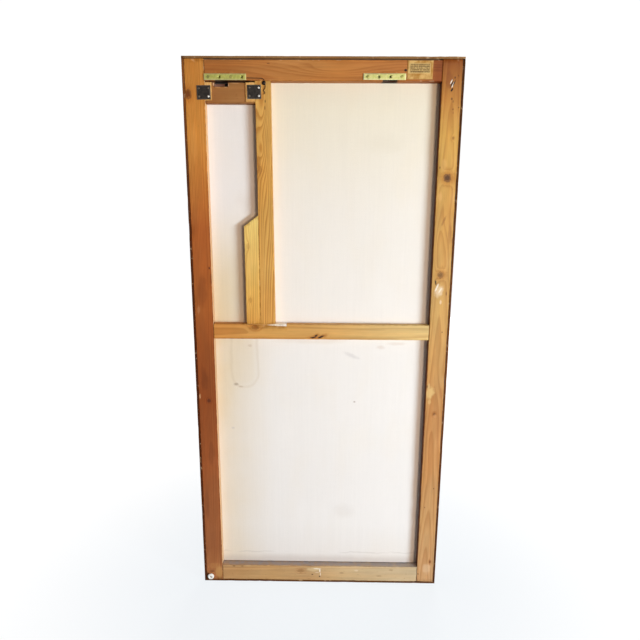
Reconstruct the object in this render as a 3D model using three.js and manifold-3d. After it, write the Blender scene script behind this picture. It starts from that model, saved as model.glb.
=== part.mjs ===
// A tall fabric screen on a wooden frame, described from its open rear (well) side: half-lapped
// pine timbers with a cross bar and a braced inner upright, cloth stretched over the front and
// turned down the sides, thin edge strips nailed over the turned cloth, and hanging hardware.
//
// Millimetres. +Z up, +X to the right when facing the open rear side, and the rear side faces -Y.
// The origin is on the underside of the bottom edge strip, half way along it and half way
// through the depth of the timber.

import * as THREE from 'three';
import * as BufferGeometryUtils from 'three/addons/utils/BufferGeometryUtils.js';
import Module from 'manifold-3d';

const wasm = await Module();
wasm.setup();

// ---------------------------------------------------------------- driving dimensions

const FRAME_WIDTH = 800;
const FRAME_HEIGHT = 1689;
const GAP = 0.25;               // clearance between a piece and the neighbour cut for it
const OVERCUT = 1;              // how far a cutter runs on past the face it opens

const STRIP_THICKNESS = 6;
const STRIP_DEPTH = 32;
const CLOTH_THICKNESS = 0.75;
const CLOTH_GAP = 0.125;

const TIMBER_DEPTH = 25;
const STILE_WIDTH = 56;
const BOTTOM_RAIL_WIDTH = 56;
const TOP_RAIL_WIDTH = 55.5;
const TOP_RAIL_DROP = 2.5;      // the top rail stops this far below the ends of the stiles
const CROSS_BAR_WIDTH = 48;
const CROSS_BAR_TOP = 918.5;

const UPRIGHT_WIDTH = 44.5;
const UPRIGHT_FOOT_LEFT = -188.5;
const UPRIGHT_LEAN = -0.0071;   // sideways run per unit of height
const STIFFENER_WIDTH = 44;
const STIFFENER_SHOULDER_Z = 1217.5;
const STIFFENER_PEAK_Z = 1250;
const STIFFENER_LEAN = -0.0051;

const TENON = { length: 12, width: 30, thickness: 8 };

const SHORT_RAIL = { bottom: 1564.5, top: 1620, setBack: 3.25, thickness: 20 };
const SHORT_RAIL_NOTCH = { left: -309.5, right: -270.5, drop: 11, web: 4 };
const SHIM_THICKNESS = 3;
const SHIM_LEFT = { right: -317, bottom: 1571.5 };
const SHIM_RIGHT = { left: -220, bottom: 1568 };

const WEDGE = { left: -244, right: -108.5, thinEnd: 1.25, thickEnd: 6.5, top: 918.25 };

const HANGING_PLATE = { length: 120, width: 17, thickness: 2.5, pitch: 32, holes: 4,
  holeRadius: 2.4 };
const HANGING_PLATE_LEFT = { x: -277.25, z: 1633.75, screwed: [0, 2] };
const HANGING_PLATE_RIGHT = { x: 174.5, z: 1635.5, screwed: [0, 3] };
const HOOK_POCKETS = [              // gouged up behind each hanging plate
  { x: -290, width: 38, top: 1639, depth: 12 },
  { x: 190, width: 45.5, top: 1641, depth: 12 },
];

const SQUARE_PLATE = { width: 39.5, height: 38, thickness: 1.5, holeX: 13.4, holeZ: 11 };
const SQUARE_PLATE_LEFT = { x: -339.4, z: 1592.6, tilt: 0.8 };
const SQUARE_PLATE_RIGHT = { x: -195.4, z: 1594.3, tilt: 0.5 };

const SMALL_SCREW = { headRadius: 3.2, headHeight: 1.9, shankRadius: 1.6, length: 17 };
const PLATE_SCREW = { headRadius: 4.2, rim: 0.25, inset: 0.2, shankRadius: 2, length: 20 };
const DOME = [[0, 0], [0.45, 0.12], [0.82, 0.42], [1, 1]];  // shares of head radius and height
const SLOT = { halfWidth: 0.4, depth: 0.8 };
const WIRE_SCREW = { x: -166.7, z: 1617.6, headRadius: 5.4, headHeight: 2.6, shankRadius: 2.2,
  length: 18, standOff: 3.2 };
const WIRE_RADIUS = 1.2;
const WIRE_EASE = 0.6;          // slack between the wire and what it is bent around
const WIRE_LIFT = 0.35;         // the wire lies this far clear of the timber
const WIRE_LEAD = [[-36.3, 13.4], [-15.3, 12.9], [-3.2, 11.4]];         // from the screw's centre
const WIRE_TAIL = [[2.6, -13], [-1.6, -19], [1.8, -25], [-0.6, -29]];

const BUMPER = { x: -378.6, z: 18, radius: 10.8, height: 5, boreRadius: 2.1, sinkDepth: 2 };
const BUMPER_SCREW = { headRadius: 3.4, headHeight: 1.6, shankRadius: 1.7, length: 14 };
const LABEL = { left: 235.6, right: 309.8, bottom: 1629, top: 1678.5, thickness: 0.5 };

const BRAD = { headRadius: 1.3, headHeight: 0.9, shankRadius: 0.75, length: 19, inset: 0.2,
  point: 2 };
const BRAD_Y = 2;               // just forward of the middle of the timber
const SIDE_BRAD_HEIGHTS = [180, 620, 1060, 1510];
const END_BRAD_OFFSETS = [-330, -95, 95, 330];
const DOWEL = { radius: 4, length: 20 };
const BOTTOM_DOWEL_RISE = 8;    // keeps the dowels clear of the bumper's screw and the brads
const NAIL_HOLES = [[382.6, 1639], [387.8, 1555]];
const NAIL_HOLE = { radius: 1.5, depth: 6 };

// ---------------------------------------------------------------- derived planes

const REAR = -TIMBER_DEPTH / 2;
const FRONT = TIMBER_DEPTH / 2;
const HALF_WIDTH = FRAME_WIDTH / 2;
const STRIP_INNER_X = HALF_WIDTH - STRIP_THICKNESS;
const CLOTH_X = STRIP_INNER_X - CLOTH_GAP;
const TIMBER_X = CLOTH_X - CLOTH_THICKNESS - CLOTH_GAP;
const TIMBER_BOTTOM = HALF_WIDTH - TIMBER_X;
const TIMBER_TOP = FRAME_HEIGHT - TIMBER_BOTTOM;
const INNER_X = TIMBER_X - STILE_WIDTH;
const TOP_RAIL_TOP = TIMBER_TOP - TOP_RAIL_DROP;
const TOP_RAIL_BOTTOM = TOP_RAIL_TOP - TOP_RAIL_WIDTH;
const BOTTOM_RAIL_TOP = TIMBER_BOTTOM + BOTTOM_RAIL_WIDTH;
const CROSS_BAR_BOTTOM = CROSS_BAR_TOP - CROSS_BAR_WIDTH;
const STRIP_FRONT = REAR + STRIP_DEPTH;
const LAP = GAP / 2;            // half laps meet at the middle of the depth
const HOLE_CLEARANCE = 0.3;

// ---------------------------------------------------------------- solids from three.js shapes

// Joins equal vertices, drops the slivers that leaves at a pole, and turns the faces outwards.
function solid(geometry) {
  const bare = geometry.clone();
  bare.deleteAttribute('normal');
  bare.deleteAttribute('uv');
  const merged = BufferGeometryUtils.mergeVertices(bare, 1e-4);
  const position = merged.getAttribute('position');
  const index = merged.getIndex().array;
  const triangles = [];
  let volume = 0;
  const [a, b, c] = [new THREE.Vector3(), new THREE.Vector3(), new THREE.Vector3()];
  for (let i = 0; i < index.length; i += 3) {
    const [p, q, r] = [index[i], index[i + 1], index[i + 2]];
    if (p === q || q === r || r === p) continue;
    triangles.push(p, q, r);
    a.fromBufferAttribute(position, p);
    b.fromBufferAttribute(position, q);
    c.fromBufferAttribute(position, r);
    volume += a.dot(b.clone().cross(c));
  }
  if (volume < 0) {
    triangles.reverse();
  }
  return new wasm.Manifold(new wasm.Mesh({
    numProp: 3,
    vertProperties: new Float32Array(position.array),
    triVerts: new Uint32Array(triangles),
  }));
}

function box(x0, x1, y0, y1, z0, z1) {
  const geometry = new THREE.BoxGeometry(x1 - x0, y1 - y0, z1 - z0);
  geometry.translate((x0 + x1) / 2, (y0 + y1) / 2, (z0 + z1) / 2);
  return solid(geometry);
}

// Shape coordinates (x, y) become world (x, z); the depth runs back from y1 to y0.
function prismFromShape(shape, y0, y1) {
  const geometry = new THREE.ExtrudeGeometry(shape,
    { depth: y1 - y0, bevelEnabled: false, curveSegments: 10 });
  const upright = new THREE.Matrix4().makeBasis(
    new THREE.Vector3(1, 0, 0), new THREE.Vector3(0, 0, 1), new THREE.Vector3(0, -1, 0));
  geometry.applyMatrix4(upright);
  geometry.translate(0, y1, 0);
  return solid(geometry);
}

function prism(outline, y0, y1) {
  const shape = new THREE.Shape(outline.map(([x, z]) => new THREE.Vector2(x, z)));
  return prismFromShape(shape, y0, y1);
}

// A turned piece whose profile of [radius, distance] runs along an axis from its start point.
function turned(profile, start, direction, segments) {
  const points = profile.map(([radius, along]) => new THREE.Vector2(radius, along));
  const geometry = new THREE.LatheGeometry(points, segments);
  const turn = new THREE.Quaternion().setFromUnitVectors(
    new THREE.Vector3(0, 1, 0), new THREE.Vector3(...direction));
  geometry.applyQuaternion(turn);
  geometry.translate(...start);
  return solid(geometry);
}

function rod(radius, length, start, direction, segments = 12) {
  return turned([[0, 0], [radius, 0], [radius, length], [0, length]], start, direction, segments);
}

const group = new THREE.Group();

function add(name, body, material) {
  const result = body.getMesh();
  const geometry = new THREE.BufferGeometry();
  geometry.setAttribute('position', new THREE.BufferAttribute(result.vertProperties, 3));
  geometry.setIndex(new THREE.BufferAttribute(result.triVerts, 1));
  geometry.computeVertexNormals();
  const mesh = new THREE.Mesh(geometry, material);
  mesh.name = name;
  group.add(mesh);
}

const INTO_WOOD = [0, 1, 0];      // direction a rear-face fastener is driven
const turnAboutY = (x, z, degrees) => {
  const angle = THREE.MathUtils.degToRad(degrees);
  return [x * Math.cos(angle) - z * Math.sin(angle), x * Math.sin(angle) + z * Math.cos(angle)];
};

// ---------------------------------------------------------------- materials

const finish = (color, roughness, metalness) =>
  new THREE.MeshStandardMaterial({ color, roughness, metalness });
const wood = {
  leftStile: finish(0xb07038, 0.6, 0),
  rightStile: finish(0xd4a45a, 0.6, 0),
  topRail: finish(0xb87840, 0.6, 0),
  bottomRail: finish(0xc6a474, 0.65, 0),
  crossBar: finish(0xd6a85e, 0.6, 0),
  upright: finish(0xcc9448, 0.6, 0),
  stiffener: finish(0xe0be6a, 0.6, 0),
  shortRail: finish(0x9a6538, 0.65, 0),
  shim: finish(0xd8a860, 0.65, 0),
  wedge: finish(0xf3e6cd, 0.7, 0),
  strip: finish(0x3a2415, 0.55, 0),
  dowel: finish(0xd9b98a, 0.6, 0),
};
const clothFinish = finish(0xede4d4, 0.9, 0);
const labelFinish = finish(0xc9a860, 0.85, 0);
const bumperFinish = finish(0xf5f4ee, 0.4, 0);
const yellowZinc = finish(0xbfc06a, 0.35, 1);
const blackSteel = finish(0x2a2826, 0.45, 1);
const nickel = finish(0xc8c8c4, 0.25, 1);
const darkScrew = finish(0x4a3c30, 0.45, 1);
const oldWire = finish(0x8a6a48, 0.45, 1);
const bradSteel = finish(0x8c8a86, 0.4, 1);

// ---------------------------------------------------------------- fasteners

// Each fastener adds its own piece and records the hole that it needs in the timber behind it.
const holes = [];

function drillHole(radius, depth, x, z) {
  holes.push(rod(radius + HOLE_CLEARANCE, depth + HOLE_CLEARANCE + OVERCUT,
    [x, REAR - OVERCUT, z], INTO_WOOD));
}

function slotCut(x, z, headFace, radius, angle) {
  const [dx, dz] = turnAboutY(radius + OVERCUT, 0, angle);
  const [nx, nz] = turnAboutY(0, SLOT.halfWidth, angle);
  return prism([
    [x - dx - nx, z - dz - nz], [x + dx - nx, z + dz - nz],
    [x + dx + nx, z + dz + nz], [x - dx + nx, z - dz + nz]],
  headFace - OVERCUT, headFace + SLOT.depth);
}

// Domed head resting on a surface at y = seat; the shank runs on into the timber.
function domedScrew(name, size, x, z, seat, material, slotAngle) {
  const crown = seat - size.headHeight;
  const tip = REAR + size.length;
  const body = turned([
    ...DOME.map(([across, down]) => [across * size.headRadius, down * size.headHeight]),
    [size.shankRadius, size.headHeight], [size.shankRadius, tip - crown - 2 * size.shankRadius],
    [0, tip - crown]], [x, crown, z], INTO_WOOD, 14);
  add(name, body.subtract(slotCut(x, z, crown, size.headRadius, slotAngle)), material);
  drillHole(size.shankRadius, size.length, x, z);
}

// Countersunk head finishing just below the plate's outer face.
function countersunkScrew(name, size, x, z, plateFace, material, slotAngle) {
  const face = plateFace + size.inset;
  const cone = size.headRadius - size.shankRadius;
  const tip = REAR + size.length;
  const body = turned([
    [0, 0], [size.headRadius, 0], [size.headRadius, size.rim], [size.shankRadius, cone],
    [size.shankRadius, tip - face - 2 * size.shankRadius], [0, tip - face]],
  [x, face, z], INTO_WOOD, 16);
  add(name, body.subtract(slotCut(x, z, face, size.headRadius, slotAngle)), material);
  drillHole(size.shankRadius, size.length, x, z);
}

// ---------------------------------------------------------------- hanging plates

function hangingPlate(side, place) {
  const size = HANGING_PLATE;
  const inner = REAR - GAP;
  const outer = inner - size.thickness;
  let plate = box(place.x - size.length / 2, place.x + size.length / 2, outer, inner,
    place.z - size.width / 2, place.z + size.width / 2);
  const sinkRadius = PLATE_SCREW.headRadius + HOLE_CLEARANCE;
  const sinkDepth = sinkRadius - size.holeRadius;
  const holeX = (i) => place.x + (i - (size.holes - 1) / 2) * size.pitch;
  for (let i = 0; i < size.holes; i += 1) {
    plate = plate.subtract(turned([
      [0, 0], [sinkRadius, 0], [sinkRadius, OVERCUT], [size.holeRadius, sinkDepth + OVERCUT],
      [size.holeRadius, size.thickness + 2 * OVERCUT], [0, size.thickness + 2 * OVERCUT]],
    [holeX(i), outer + GAP - OVERCUT, place.z], INTO_WOOD, 16));
  }
  add(`hanging_plate_${side}`, plate, yellowZinc);
  place.screwed.forEach((hole, i) => {
    countersunkScrew(`hanging_plate_${side}_screw_${i + 1}`, PLATE_SCREW, holeX(hole), place.z,
      outer, yellowZinc, 25 + 50 * i);
  });
}

// Room behind a plate for a wall hook: an upright gouge, open at the rail's lower edge.
function hookPocket({ x, width, top, depth }) {
  const half = width / 2;
  const radius = (half * half + depth * depth) / (2 * depth);
  const bottom = TOP_RAIL_BOTTOM - OVERCUT;
  return rod(radius, top - bottom, [x, REAR + depth - radius, bottom], [0, 0, 1], 48);
}

hangingPlate('left', HANGING_PLATE_LEFT);
hangingPlate('right', HANGING_PLATE_RIGHT);

// ---------------------------------------------------------------- square joining plates

function squarePlate(side, place) {
  const size = SQUARE_PLATE;
  const inner = REAR - GAP;
  const outer = inner - size.thickness;
  const corner = (sx, sz, halfX, halfZ) => {
    const [dx, dz] = turnAboutY(sx * halfX, sz * halfZ, place.tilt);
    return [place.x + dx, place.z + dz];
  };
  const quarters = [[-1, -1], [1, -1], [1, 1], [-1, 1]];
  let plate = prism(quarters.map(([sx, sz]) => corner(sx, sz, size.width / 2, size.height / 2)),
    outer, inner);
  const names = ['bottom_left', 'bottom_right', 'top_right', 'top_left'];
  quarters.forEach(([sx, sz], i) => {
    const [x, z] = corner(sx, sz, size.holeX, size.holeZ);
    plate = plate.subtract(rod(SMALL_SCREW.shankRadius + HOLE_CLEARANCE,
      size.thickness + 2 * OVERCUT, [x, outer - OVERCUT, z], INTO_WOOD));
    domedScrew(`square_plate_${side}_screw_${names[i]}`, SMALL_SCREW, x, z, outer - GAP / 2,
      nickel, 20 + 70 * i);
  });
  add(`square_plate_${side}`, plate, blackSteel);
}

squarePlate('left', SQUARE_PLATE_LEFT);
squarePlate('right', SQUARE_PLATE_RIGHT);

// ---------------------------------------------------------------- hanging wire and its screw

domedScrew('wire_screw', WIRE_SCREW, WIRE_SCREW.x, WIRE_SCREW.z, REAR - WIRE_SCREW.standOff,
  darkScrew, 60);

function hangingWire() {
  const lie = REAR - WIRE_RADIUS - WIRE_LIFT;
  const turn = WIRE_SCREW.shankRadius + WIRE_RADIUS + WIRE_EASE;
  const { x, z } = WIRE_SCREW;
  const around = (degrees) => {
    const [dx, dz] = turnAboutY(turn, 0, degrees);
    return [x + dx, z + dz];
  };
  const plateEnd = HANGING_PLATE_LEFT.x + HANGING_PLATE.length / 2;
  const fromScrew = ([dx, dz]) => [x + dx, z + dz];
  const route = [[plateEnd + WIRE_RADIUS + WIRE_EASE, z + WIRE_LEAD[0][1]],
    ...WIRE_LEAD.map(fromScrew), around(40), around(0), around(-40), ...WIRE_TAIL.map(fromScrew)];
  const path = new THREE.CatmullRomCurve3(route.map(([px, pz]) => new THREE.Vector3(px, lie, pz)));
  const section = new THREE.Shape().absarc(0, 0, WIRE_RADIUS, 0, 2 * Math.PI, false);
  const geometry = new THREE.ExtrudeGeometry(section,
    { steps: 44, curveSegments: 4, bevelEnabled: false, extrudePath: path });
  add('hanging_wire', solid(geometry), oldWire);
}

hangingWire();

// ---------------------------------------------------------------- corner bumper

function cornerBumper() {
  const seat = REAR - GAP;
  const face = seat - BUMPER.height;
  const { radius, boreRadius, sinkDepth } = BUMPER;
  const bore = BUMPER_SCREW.headRadius + HOLE_CLEARANCE;
  const profile = [
    [boreRadius, sinkDepth], [bore, sinkDepth], [bore, 0], [radius - 2, 0], [radius - 0.6, 0.6],
    [radius, 2], [radius, BUMPER.height], [boreRadius, BUMPER.height], [boreRadius, sinkDepth]];
  add('corner_bumper', turned(profile, [BUMPER.x, face, BUMPER.z], INTO_WOOD, 28), bumperFinish);
  domedScrew('corner_bumper_screw', BUMPER_SCREW, BUMPER.x, BUMPER.z, face + sinkDepth - GAP / 2,
    nickel, 40);
}

cornerBumper();

// ---------------------------------------------------------------- paper label

add('paper_label', box(LABEL.left, LABEL.right, REAR - LABEL.thickness - GAP / 2, REAR - GAP / 2,
  LABEL.bottom, LABEL.top), labelFinish);

// ---------------------------------------------------------------- dowels pinning the half laps

// Driven from the front, blind, so that they don't show at the rear.
const dowels = [];

function lapDowel(name, x, z) {
  const start = [x, FRONT - DOWEL.length, z];
  add(name, rod(DOWEL.radius, DOWEL.length - GAP, start, INTO_WOOD), wood.dowel);
  dowels.push(rod(DOWEL.radius + GAP, DOWEL.length + GAP + OVERCUT, [x, start[1] - GAP, z],
    INTO_WOOD));
}

const lapX = TIMBER_X - STILE_WIDTH / 2;
for (const [side, x] of [['left', -lapX], ['right', lapX]]) {
  lapDowel(`corner_dowel_top_${side}`, x, (TOP_RAIL_BOTTOM + TOP_RAIL_TOP) / 2);
  lapDowel(`corner_dowel_bottom_${side}`, x,
    (TIMBER_BOTTOM + BOTTOM_RAIL_TOP) / 2 + BOTTOM_DOWEL_RISE);
  lapDowel(`cross_bar_dowel_${side}`, x, (CROSS_BAR_BOTTOM + CROSS_BAR_TOP) / 2);
}

// ---------------------------------------------------------------- brads through the edge strips

const bradHoles = [];

function brad(name, start, direction) {
  const size = BRAD;
  const inward = new THREE.Vector3(...direction);
  const face = new THREE.Vector3(...start).addScaledVector(inward, size.inset);
  add(name, turned([
    [0, 0], [size.headRadius, 0], [size.headRadius, size.headHeight],
    [size.shankRadius, size.headHeight], [size.shankRadius, size.length - size.point],
    [0, size.length]],
  face.toArray(), direction, 8), bradSteel);
  const mouth = new THREE.Vector3(...start).addScaledVector(inward, -OVERCUT);
  const headDepth = OVERCUT + size.inset + size.headHeight + GAP;
  const shankDepth = OVERCUT + size.inset + size.length + GAP;
  bradHoles.push(turned([
    [0, 0], [size.headRadius + GAP, 0], [size.headRadius + GAP, headDepth],
    [size.shankRadius + GAP, headDepth], [size.shankRadius + GAP, shankDepth], [0, shankDepth]],
  mouth.toArray(), direction, 8));
}

SIDE_BRAD_HEIGHTS.forEach((z, i) => {
  brad(`strip_brad_left_${i + 1}`, [-HALF_WIDTH, BRAD_Y, z], [1, 0, 0]);
  brad(`strip_brad_right_${i + 1}`, [HALF_WIDTH, BRAD_Y, z], [-1, 0, 0]);
});
END_BRAD_OFFSETS.forEach((x, i) => {
  brad(`strip_brad_bottom_${i + 1}`, [x, BRAD_Y, 0], [0, 0, 1]);
  brad(`strip_brad_top_${i + 1}`, [x, BRAD_Y, FRAME_HEIGHT], [0, 0, -1]);
});

const cutAll = (body, cutters) => cutters.reduce((rest, cutter) => rest.subtract(cutter), body);

// ---------------------------------------------------------------- stiles and rails

function lappedStile(side) {
  const outer = side * TIMBER_X;
  const inner = side * INNER_X;
  const [x0, x1] = [Math.min(outer, inner), Math.max(outer, inner)];
  let stile = box(x0, x1, REAR, FRONT, TIMBER_BOTTOM, TIMBER_TOP);
  const laps = [
    [TIMBER_BOTTOM - OVERCUT, BOTTOM_RAIL_TOP + GAP],
    [CROSS_BAR_BOTTOM - GAP, CROSS_BAR_TOP + GAP],
    [TOP_RAIL_BOTTOM - GAP, TIMBER_TOP + OVERCUT]];
  for (const [z0, z1] of laps) {
    stile = stile.subtract(box(x0 - OVERCUT, x1 + OVERCUT, -LAP, FRONT + OVERCUT, z0, z1));
  }
  return stile;
}

// A rail is full depth between the stiles, and its front half runs on across both of them.
function lappedRail(z0, z1) {
  const shoulder = INNER_X - GAP;
  return box(-shoulder, shoulder, REAR, FRONT, z0, z1)
    .add(box(-TIMBER_X, TIMBER_X, LAP, FRONT, z0, z1));
}

const leanAt = (footX, lean, z) => footX + lean * (z - CROSS_BAR_TOP);
const uprightLeft = (z) => leanAt(UPRIGHT_FOOT_LEFT, UPRIGHT_LEAN, z);
const uprightMiddle = (z) => uprightLeft(z) + UPRIGHT_WIDTH / 2;

// The inner upright stands on the cross bar and meets the top rail, with a stub tenon each end.
function leaningOutline(z0, z1, halfWidth) {
  return [
    [uprightMiddle(z0) - halfWidth, z0], [uprightMiddle(z0) + halfWidth, z0],
    [uprightMiddle(z1) + halfWidth, z1], [uprightMiddle(z1) - halfWidth, z1]];
}

function tenonPrism(z0, z1, clearance) {
  return prism(leaningOutline(z0 - clearance, z1 + clearance, TENON.width / 2 + clearance),
    -TENON.thickness / 2 - clearance, TENON.thickness / 2 + clearance);
}

const uprightFoot = CROSS_BAR_TOP + GAP;
const uprightHead = TOP_RAIL_BOTTOM - GAP;
const footTenon = [uprightFoot - TENON.length, uprightFoot + OVERCUT];
const headTenon = [uprightHead - OVERCUT, uprightHead + TENON.length];
const innerUpright = prism(leaningOutline(uprightFoot, uprightHead, UPRIGHT_WIDTH / 2), REAR, FRONT)
  .add(tenonPrism(...footTenon, 0))
  .add(tenonPrism(...headTenon, 0));
const footMortise = tenonPrism(...footTenon, GAP);
const headMortise = tenonPrism(...headTenon, GAP);

const topRail = cutAll(lappedRail(TOP_RAIL_BOTTOM, TOP_RAIL_TOP),
  [...HOOK_POCKETS.map(hookPocket), headMortise]);

// The wedge fills a shallow sloping notch in the upper edge of the cross bar.
const notchLeft = WEDGE.left - OVERCUT;
const notchRight = WEDGE.right + GAP;
const notchMouth = CROSS_BAR_TOP + OVERCUT;
const wedgeNotch = prism([
  [notchLeft, notchMouth], [notchLeft, WEDGE.top - WEDGE.thinEnd - GAP],
  [notchRight, WEDGE.top - WEDGE.thickEnd - GAP], [notchRight, notchMouth]],
REAR - OVERCUT, FRONT + OVERCUT);
const crossBar = lappedRail(CROSS_BAR_BOTTOM, CROSS_BAR_TOP)
  .subtract(wedgeNotch)
  .subtract(footMortise);
const wedge = prism([
  [WEDGE.left, WEDGE.top], [WEDGE.left, WEDGE.top - WEDGE.thinEnd],
  [WEDGE.right, WEDGE.top - WEDGE.thickEnd], [WEDGE.right, WEDGE.top]], REAR, FRONT)
  .subtract(footMortise);

const nailHoles = NAIL_HOLES.map(([x, z]) =>
  rod(NAIL_HOLE.radius, NAIL_HOLE.depth + OVERCUT, [x, REAR - OVERCUT, z], INTO_WOOD, 10));

const timberCuts = [...holes, ...dowels, ...bradHoles];
add('left_stile', cutAll(lappedStile(-1), timberCuts), wood.leftStile);
add('right_stile', cutAll(lappedStile(1), [...timberCuts, ...nailHoles]), wood.rightStile);
add('top_rail', cutAll(topRail, timberCuts), wood.topRail);
add('bottom_rail', cutAll(lappedRail(TIMBER_BOTTOM, BOTTOM_RAIL_TOP), timberCuts), wood.bottomRail);
add('cross_bar', cutAll(crossBar, timberCuts), wood.crossBar);
add('tightening_wedge', wedge, wood.wedge);
add('inner_upright', cutAll(innerUpright, holes), wood.upright);

// ---------------------------------------------------------------- stiffener beside the upright

const stiffenerLeft = (z) =>
  leanAt(UPRIGHT_FOOT_LEFT - STIFFENER_WIDTH, STIFFENER_LEAN, z);
const stiffenerRight = (z) => uprightLeft(z) - GAP;
add('angled_stiffener', prism([
  [stiffenerLeft(uprightFoot), uprightFoot], [stiffenerRight(uprightFoot), uprightFoot],
  [stiffenerRight(STIFFENER_PEAK_Z), STIFFENER_PEAK_Z],
  [stiffenerLeft(STIFFENER_SHOULDER_Z), STIFFENER_SHOULDER_Z]], REAR, FRONT), wood.stiffener);

// ---------------------------------------------------------------- short rail and its shims

// It fills the head of the narrow bay and is carried by the two square plates.
const shortRailRear = REAR + SHORT_RAIL.setBack;
const shortRailFront = shortRailRear + SHORT_RAIL.thickness;
const shortRail = prism([
  [-INNER_X + GAP, SHORT_RAIL.bottom],
  [uprightLeft(SHORT_RAIL.bottom) - GAP, SHORT_RAIL.bottom],
  [uprightLeft(SHORT_RAIL.top) - GAP, SHORT_RAIL.top],
  [-INNER_X + GAP, SHORT_RAIL.top]], shortRailRear, shortRailFront);
const shortRailNotch = box(SHORT_RAIL_NOTCH.left, SHORT_RAIL_NOTCH.right,
  shortRailRear - OVERCUT, shortRailFront - SHORT_RAIL_NOTCH.web,
  SHORT_RAIL.top - SHORT_RAIL_NOTCH.drop, SHORT_RAIL.top + OVERCUT);
add('short_rail', cutAll(shortRail, [...holes, shortRailNotch]), wood.shortRail);

const shimLeft = box(-INNER_X + GAP, SHIM_LEFT.right, REAR, REAR + SHIM_THICKNESS,
  SHIM_LEFT.bottom, SHORT_RAIL.top);
const shimRight = prism([
  [SHIM_RIGHT.left, SHIM_RIGHT.bottom], [uprightLeft(SHIM_RIGHT.bottom) - GAP, SHIM_RIGHT.bottom],
  [uprightLeft(SHORT_RAIL.top) - GAP, SHORT_RAIL.top], [SHIM_RIGHT.left, SHORT_RAIL.top]],
REAR, REAR + SHIM_THICKNESS);
add('shim_left', cutAll(shimLeft, holes), wood.shim);
add('shim_right', cutAll(shimRight, holes), wood.shim);

// ---------------------------------------------------------------- cloth

// One sheet over the front, turned back along all four sides between timber and edge strips.
const clothBottom = TIMBER_BOTTOM - CLOTH_GAP - CLOTH_THICKNESS;
const clothTop = TIMBER_TOP + CLOTH_GAP + CLOTH_THICKNESS;
const clothBack = FRONT + CLOTH_GAP;
const cloth = box(-CLOTH_X, CLOTH_X, REAR, clothBack + CLOTH_THICKNESS, clothBottom, clothTop)
  .subtract(box(-TIMBER_X - CLOTH_GAP, TIMBER_X + CLOTH_GAP, REAR - OVERCUT, clothBack,
    TIMBER_BOTTOM - CLOTH_GAP, TIMBER_TOP + CLOTH_GAP));
add('screen_cloth', cutAll(cloth, bradHoles), clothFinish);

// ---------------------------------------------------------------- edge strips

function strip(side, x0, x1, z0, z1) {
  add(`edge_strip_${side}`, cutAll(box(x0, x1, REAR, STRIP_FRONT, z0, z1), bradHoles), wood.strip);
}

const stripTopZ = FRAME_HEIGHT - STRIP_THICKNESS;
strip('bottom', -HALF_WIDTH, HALF_WIDTH, 0, STRIP_THICKNESS);
strip('top', -HALF_WIDTH, HALF_WIDTH, stripTopZ, FRAME_HEIGHT);
strip('left', -HALF_WIDTH, -STRIP_INNER_X, STRIP_THICKNESS + GAP, stripTopZ - GAP);
strip('right', STRIP_INNER_X, HALF_WIDTH, STRIP_THICKNESS + GAP, stripTopZ - GAP);

export default group;
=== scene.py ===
import math

import bmesh
import bpy
from mathutils import Matrix, Vector, noise


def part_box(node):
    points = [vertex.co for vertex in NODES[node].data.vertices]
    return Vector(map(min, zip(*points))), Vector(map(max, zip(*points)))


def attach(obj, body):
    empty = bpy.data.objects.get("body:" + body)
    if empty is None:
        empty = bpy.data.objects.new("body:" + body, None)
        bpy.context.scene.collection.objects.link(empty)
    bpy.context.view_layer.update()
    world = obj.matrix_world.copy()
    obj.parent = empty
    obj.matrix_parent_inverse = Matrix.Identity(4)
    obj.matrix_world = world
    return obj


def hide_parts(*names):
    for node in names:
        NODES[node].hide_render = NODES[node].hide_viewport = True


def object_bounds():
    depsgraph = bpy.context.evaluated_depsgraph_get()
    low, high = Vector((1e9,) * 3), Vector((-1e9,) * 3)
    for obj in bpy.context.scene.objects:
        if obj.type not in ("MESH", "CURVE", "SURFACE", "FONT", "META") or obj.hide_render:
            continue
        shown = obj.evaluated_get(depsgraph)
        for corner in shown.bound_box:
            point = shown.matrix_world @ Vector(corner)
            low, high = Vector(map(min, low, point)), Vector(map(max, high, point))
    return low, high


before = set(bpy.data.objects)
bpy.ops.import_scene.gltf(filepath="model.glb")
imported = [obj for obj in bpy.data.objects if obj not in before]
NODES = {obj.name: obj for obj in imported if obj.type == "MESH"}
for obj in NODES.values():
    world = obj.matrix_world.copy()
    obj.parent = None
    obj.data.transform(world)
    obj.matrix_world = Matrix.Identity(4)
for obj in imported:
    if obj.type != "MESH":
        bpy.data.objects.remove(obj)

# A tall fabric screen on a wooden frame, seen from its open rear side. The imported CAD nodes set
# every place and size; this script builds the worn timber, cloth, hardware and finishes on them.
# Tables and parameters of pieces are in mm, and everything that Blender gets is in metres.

CAD_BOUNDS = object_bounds()
MM = 0.001


def srgb(red, green, blue):
    """Linear colour from 8-bit sRGB values."""
    def channel(value):
        value /= 255
        return value / 12.92 if value <= 0.04045 else ((value + 0.055) / 1.055) ** 2.4
    return (channel(red), channel(green), channel(blue), 1.0)


# ---------------- node builder

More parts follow.
